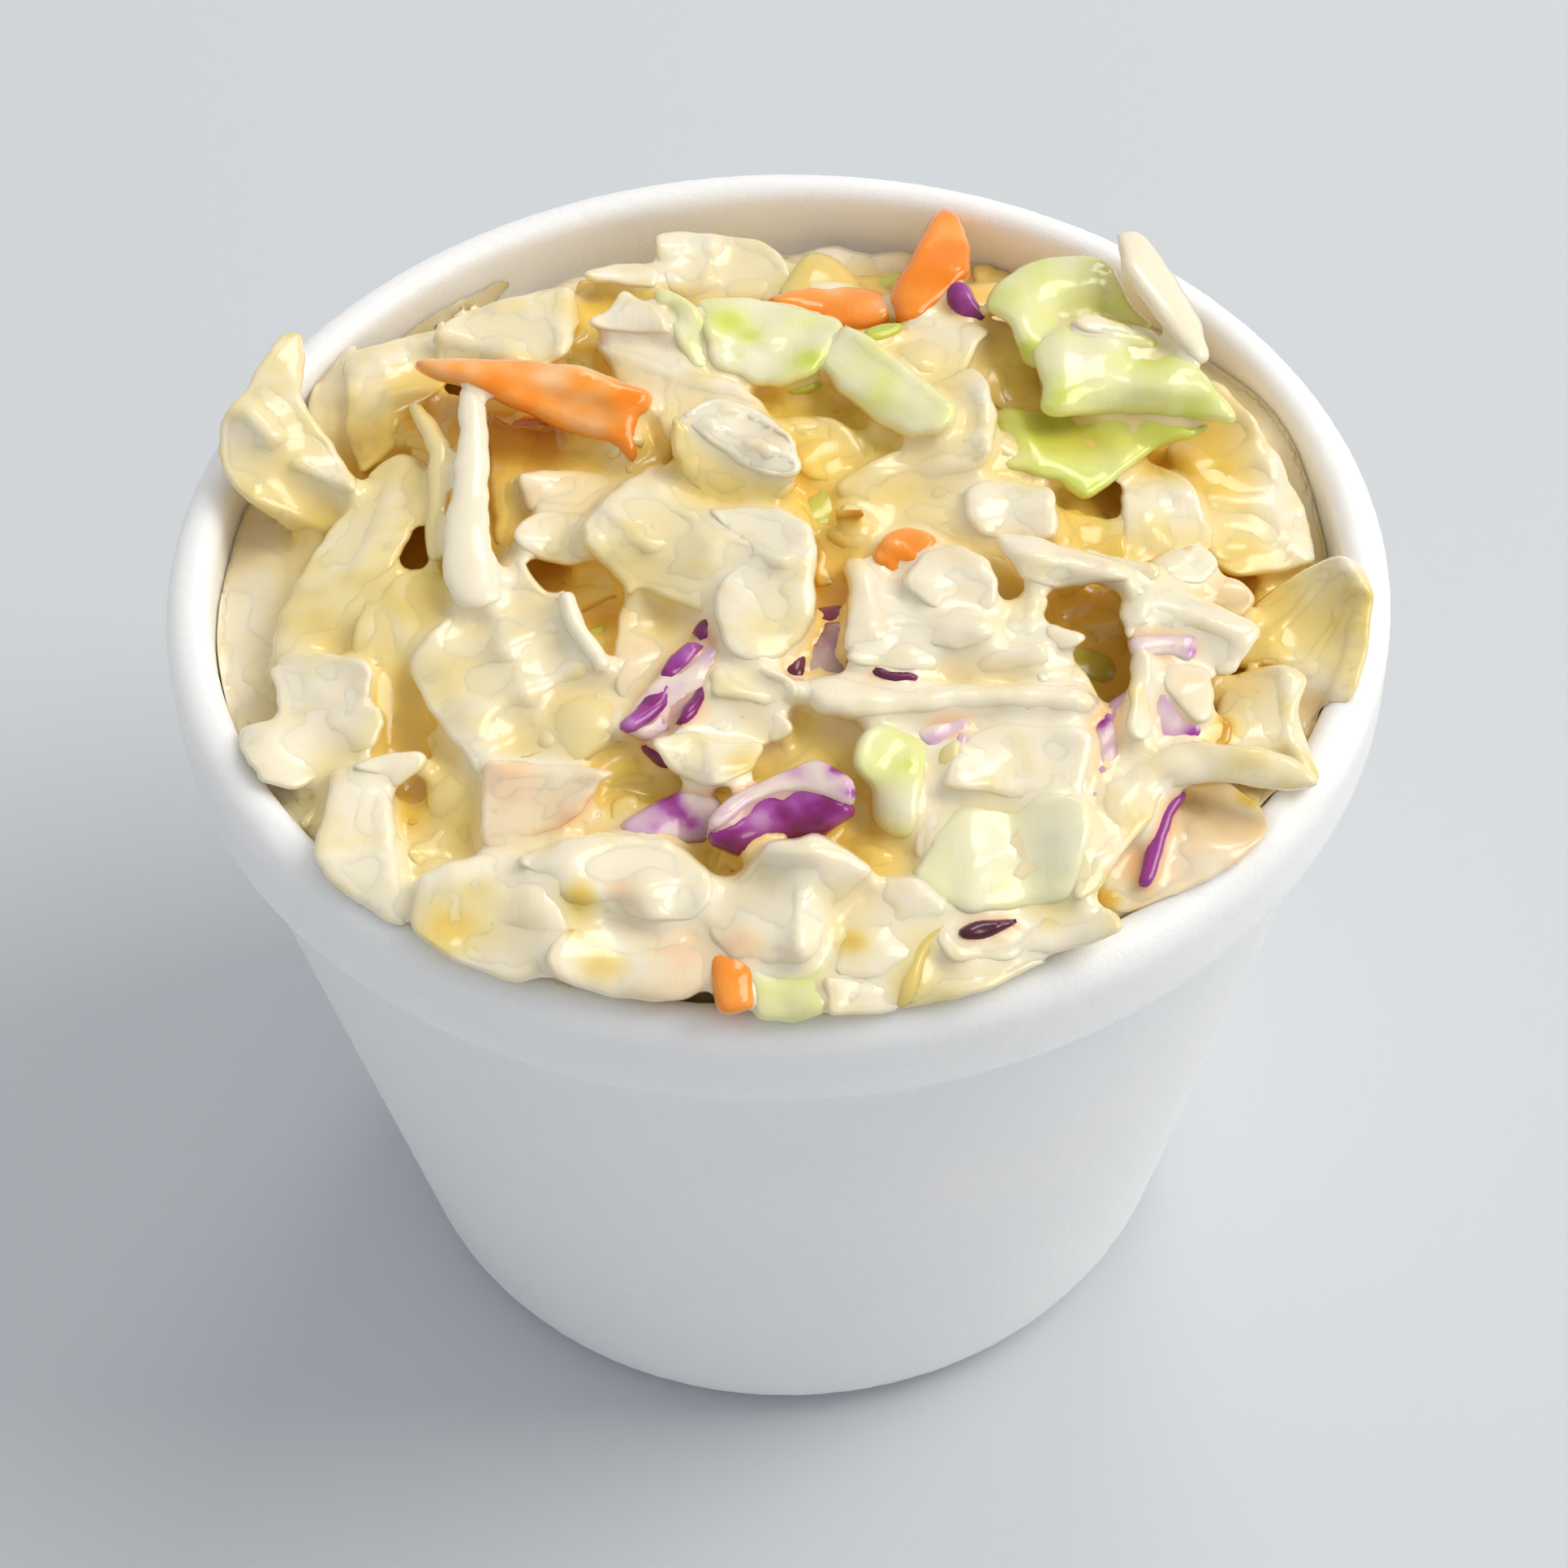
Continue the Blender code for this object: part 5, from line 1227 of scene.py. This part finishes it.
def paint_gap_shade(tree, colour, middle, deep):
    """Paint shade into a colour: golden and then brown towards the deepest gaps, where less light reaches."""
    depth = attribute(tree, "depth")["Fac"]
    golden = mix(tree, spread(tree, depth, 0.08, 0.55), colour, middle)
    return mix(tree, spread(tree, depth, 0.65, 1.0), golden, deep)

def add_bump(tree, shader, height, depth_mm, strength=1.0):
    bump = add_node(tree, "ShaderNodeBump", {}, Strength=strength, Distance=depth_mm * MM, Height=height)
    tree.links.new(bump.outputs["Normal"], shader.inputs["Normal"])

def ramp(tree, value, stops):
    """A colour read off a row of (value, colour) stops."""
    low, high = stops[0][0], stops[-1][0]
    node = add_node(tree, "ShaderNodeValToRGB", {}, Fac=spread(tree, value, low, high))
    elements = node.color_ramp.elements
    while len(elements) < len(stops):
        elements.new(0.5)
    for element, (at, colour) in zip(elements, stops):
        element.position = (at - low) / (high - low)
        element.color = linear(colour)
    return node.outputs[0]

def piece_material(name, stops, middle, deep, roughness=0.2, scatter=0.35, radius=(1.0, 0.68, 0.3), bump=0.05):
    """A cut piece of vegetable whose colour follows its tone value, with golden and then brown shade painted into the
    gaps; middle and deep are those painted shade colours.
    """
    material, tree, shader = food_material(name, roughness, scatter, radius, 1.0, 0.35)
    base = ramp(tree, attribute(tree, "tint")["Fac"], stops)
    tree.links.new(paint_gap_shade(tree, base, middle, deep), shader.inputs["Base Color"])
    add_bump(tree, shader, fibres(tree, 0.6, 6.0), bump, 0.6)
    return material

# raw white cabbage: mauve and peach stains below 0, white at 0, yellow up to 1 partly its own tone and partly painted
# shade, and golden from 1.5 to brown at 3 painted shade for leaves that lie in gaps and shadow
WHITE = piece_material("white_cabbage", [(-2, "#c08ba0"), (-1.5, "#dcae9c"), (-1, "#f0c49a"), (-0.4, "#f4dfba"),
                                         (0, "#f4ead0"), (0.5, "#eedca4"), (1, "#e5c86c"), (1.5, "#dfae42"),
                                         (2, "#cb8e22"), (2.5, "#9c6014"), (3, "#663a08")], "#efcb60", "#eaaa2c")
# outer green cabbage: whitish below 0, pale yellow-green at 0, olive from 1.6
GREEN = piece_material("green_cabbage", [(-1, "#f2ecd2"), (-0.3, "#ece8b8"), (0.2, "#e4e594"), (0.5, "#d6dd6c"),
                                         (1, "#bfcc40"), (1.6, "#a0b02c"), (2, "#849c24")], "#d4cc58", "#b49a2c")
# raw carrot: saturated at 0 and pale under dressing at 1
CARROT = piece_material("raw_carrot", [(-0.5, "#f47c08"), (0, "#fc8c10"), (0.5, "#fda548"), (1, "#fdc68c"),
                                       (1.5, "#f8deb8")], "#ee8418", "#b86014", scatter=0.15, radius=(1.0, 0.5, 0.15))
# raw red cabbage: maroon below 0, magenta at 0.2 and the pale flesh of the ribs from 0.9
RED = piece_material("red_cabbage", [(-0.4, "#4c1024"), (0, "#6c1048"), (0.25, "#8c1878"), (0.55, "#a850a4"),
                                     (0.8, "#cf9fc4"), (1.2, "#ead6cc"), (1.6, "#f0dfc0")], "#7c3040", "#461820",
                     scatter=0.2, radius=(0.8, 0.4, 0.5))
# creamy dressing, on the white cabbage's stops, whose golden and brown end is painted shade
DRESSING = piece_material("creamy_dressing", [(-2, "#c08ba0"), (-1.5, "#dcae9c"), (-1, "#f0c49a"),
                                                 (-0.4, "#f4dfba"), (0, "#f4ead0"), (0.5, "#eedca4"), (1, "#e5c86c"),
                                                 (1.5, "#dfae42"), (2, "#cb8e22"), (2.5, "#9c6014"), (3, "#663a08")],
                          "#efcb60", "#eaaa2c",
                          roughness=0.2, bump=0.02)

# %% Scatter the shreds
SHREDS = {
    "white_cabbage_shreds": (make_shreds("white_shreds", "leaf", 14, (9, 17), (1.6, 5.0), thick=0.8, crown=0.6,
                                         crinkle=0.5, tints=(0.2, 1)), 2.8, 35.5, 4.6, 3, WHITE, 0.35, 1.0),
    "white_cabbage_chips": (make_shreds("white_chips", "rib", 8, (4, 7), (1.3, 2.5), thick=1.8, crown=0.2, end=0.8,
                                        crinkle=0.15, tints=(0, 0.5)), 3.6, 35.0, 11.0, 8, WHITE),
    "green_cabbage_shreds": (make_shreds("green_shreds", "leaf", 6, (4, 8), (0.8, 2.0), thick=0.8, tints=(0.2, 1)), 2.8,
                             35.0, 9.5, 11, GREEN),
    "carrot_shreds": (make_shreds("carrot_bits", "stick", 6, (4, 9), (0.7, 1.3), thick=1.5, crown=0.2, crinkle=0.1), 3.4,
                      35.0, 12.0, 21, CARROT),
    "red_cabbage_shreds": (make_shreds("red_bits", "stick", 6, (3, 7), (0.5, 1.2), thick=1.0, crown=0.2, crinkle=0.15), 3.0,
                           35.0, 13.0, 31, RED),
}
LOOSE = {name: scatter(name, *settings) for name, settings in SHREDS.items()}

# %% Big pieces as meshes
FINISH = {"white_cabbage_leaves": WHITE, "white_cabbage_ribs": WHITE, "green_cabbage_leaves": GREEN,
          "carrot_pieces": CARROT, "red_cabbage_pieces": RED}
BIG = {}
for name, pile in PILES.items():
    BIG[name] = pile_mesh(pile, name)
    BIG[name].data.materials.append(FINISH[name])
    print(f"{name}: {len(BIG[name].data.polygons)} faces, {press_inside(BIG[name])} points pressed to the wall")
for name, piece in LOOSE.items():
    press_inside(piece)

# %% [markdown]
# ## The dressing
# The dressing wets everything and gathers where pieces meet, in small hollow fillets. A morphological closing makes
# just that: all pieces and the core become one distance field, which is grown by the fillet's radius and then shrunk
# back by a little more. What stays lies just under the pieces and fills the corners and narrow gaps between them.

# %% Dressing tree
def dressing_tree():
    tree = bpy.data.node_groups.new("gather_dressing", "GeometryNodeTree")
    for name, kind in (("Pieces", "NodeSocketGeometry"), ("Voxel", "NodeSocketFloat"), ("Fillet", "NodeSocketFloat"),
                       ("Sink", "NodeSocketFloat"), ("Simplify", "NodeSocketFloat"), ("Material", "NodeSocketMaterial")):
        tree.interface.new_socket(name, in_out="INPUT", socket_type=kind)
    tree.interface.new_socket("Geometry", in_out="OUTPUT", socket_type="NodeSocketGeometry")
    given = add_node(tree, "NodeGroupInput").outputs
    field = add_node(tree, "GeometryNodeMeshToSDFGrid", {}, Mesh=given["Pieces"], Voxel_Size=given["Voxel"], Band_Width=6)
    grown = add_node(tree, "GeometryNodeGridToMesh", {}, Grid=field.outputs[0], Threshold=given["Fillet"])
    again = add_node(tree, "GeometryNodeMeshToSDFGrid", {}, Mesh=grown.outputs[0], Voxel_Size=given["Voxel"], Band_Width=6)
    back = add_node(tree, "ShaderNodeMath", {"operation": "ADD"}, i0=given["Fillet"], i1=given["Sink"])
    level = add_node(tree, "ShaderNodeMath", {"operation": "MULTIPLY"}, i0=back.outputs[0], i1=-1.0)
    shrunk = add_node(tree, "GeometryNodeGridToMesh", {}, Grid=again.outputs[0], Threshold=level.outputs[0],
                      Adaptivity=given["Simplify"])
    place = add_node(tree, "GeometryNodeInputPosition")
    even = add_node(tree, "GeometryNodeBlurAttribute", {"data_type": "FLOAT_VECTOR"}, Iterations=1)
    tree.links.new(place.outputs[0], next(s for s in even.inputs if s.enabled and s.name == "Value"))
    smooth = add_node(tree, "GeometryNodeSetPosition", {}, Geometry=shrunk.outputs[0],
                      Position=next(s for s in even.outputs if s.enabled))
    tint = add_node(tree, "GeometryNodeInputNamedAttribute", {"data_type": "FLOAT"}, Name="tint")
    nearest = add_node(tree, "GeometryNodeSampleNearestSurface", {"data_type": "FLOAT"}, Mesh=given["Pieces"])
    tree.links.new(tint.outputs[0], next(s for s in nearest.inputs if s.enabled and s.name == "Value"))
    blend = add_node(tree, "GeometryNodeBlurAttribute", {"data_type": "FLOAT"}, Iterations=4)
    tree.links.new(nearest.outputs[0], next(s for s in blend.inputs if s.enabled and s.name == "Value"))
    stained = add_node(tree, "GeometryNodeStoreNamedAttribute", {"data_type": "FLOAT", "domain": "POINT"},
                       Geometry=smooth.outputs[0], Name="tint")
    tree.links.new(next(s for s in blend.outputs if s.enabled),
                   next(s for s in stained.inputs if s.enabled and s.name == "Value"))
    whole = add_node(tree, "GeometryNodeRealizeInstances", {}, i0=stained.outputs[0])
    finish = add_node(tree, "GeometryNodeSetMaterial", {}, Geometry=whole.outputs[0], Material=given["Material"])
    result = add_node(tree, "NodeGroupOutput")
    tree.links.new(finish.outputs[0], result.inputs[0])
    return tree

STAINS = {"carrot": -0.8, "red": -1.6, "green": 0.4}

def joined_copy(pieces, name):
    """One mesh with the points, faces and tints of many pieces; coloured ones stain what lies on them."""
    points, faces, tints, start = [], [], [], 0
    for piece in pieces:
        mesh = piece.data
        points.append(read_points(mesh) * MM)
        mesh.calc_loop_triangles()
        corners = np.empty(len(mesh.loop_triangles) * 3, dtype=np.int32)
        mesh.loop_triangles.foreach_get("vertices", corners)
        faces.append(corners.reshape(-1, 3) + start)
        start += len(mesh.vertices)
        tint = np.full(len(mesh.vertices), STAINS.get(piece.name.split("_")[0], 0.3))
        if piece.name.startswith("white"):
            mesh.attributes["tint"].data.foreach_get("value", tint)
        tints.append(tint)
    mesh = bpy.data.meshes.new(name)
    mesh.from_pydata(np.vstack(points).tolist(), [], np.vstack(faces).tolist())
    mesh.attributes.new("tint", "FLOAT", "POINT").data.foreach_set("value", np.concatenate(tints))
    joined = bpy.data.objects.new(name, mesh)
    bpy.context.scene.collection.objects.link(joined)
    return joined

def make_dressing():
    plug = make_core("plug", RIM_Z - 22.0)
    dressing = joined_copy([plug, *BIG.values(), *LOOSE.values()], "creamy_dressing")
    bpy.data.objects.remove(plug)
    modifier = dressing.modifiers.new("gather", "NODES")
    modifier.node_group = dressing_tree()
    for key, value in (("Voxel", 0.32 * MM), ("Fillet", 0.62 * MM), ("Sink", 0.01 * MM), ("Simplify", 0.1),
                       ("Material", DRESSING)):
        set_input(modifier, key, value)
    bake(dressing)
    dressing.data.shade_smooth()
    return dressing

def swell(piece, amount):
    """Move a piece's points out along their normals by an amount in mm, so that it stands proud of the dressing."""
    normals = np.empty(len(piece.data.vertices) * 3)
    piece.data.vertices.foreach_get("normal", normals)
    points = read_points(piece.data) + normals.reshape(-1, 3) * amount
    piece.data.vertices.foreach_set("co", (points * MM).ravel())
    piece.data.update()

dressing = make_dressing()
for name in ("green_cabbage_leaves", "carrot_pieces", "red_cabbage_pieces"):
    swell(BIG[name], 0.16)
for name in ("green_cabbage_shreds", "carrot_shreds", "red_cabbage_shreds"):
    swell(LOOSE[name], 0.14)
dressing.data.calc_loop_triangles()
print("dressing:", len(dressing.data.loop_triangles), "triangles")

# %% Give every piece its gap depth for the painted shade, its body and its slot
core.data.materials.append(DRESSING)
crests = crest_map([core, dressing, *BIG.values(), *LOOSE.values()])
for piece in (core, dressing, *BIG.values(), *LOOSE.values()):
    mark_shade_depth(piece, crests)
    piece.data.shade_smooth()
    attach(piece, "root")
    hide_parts("slaw")
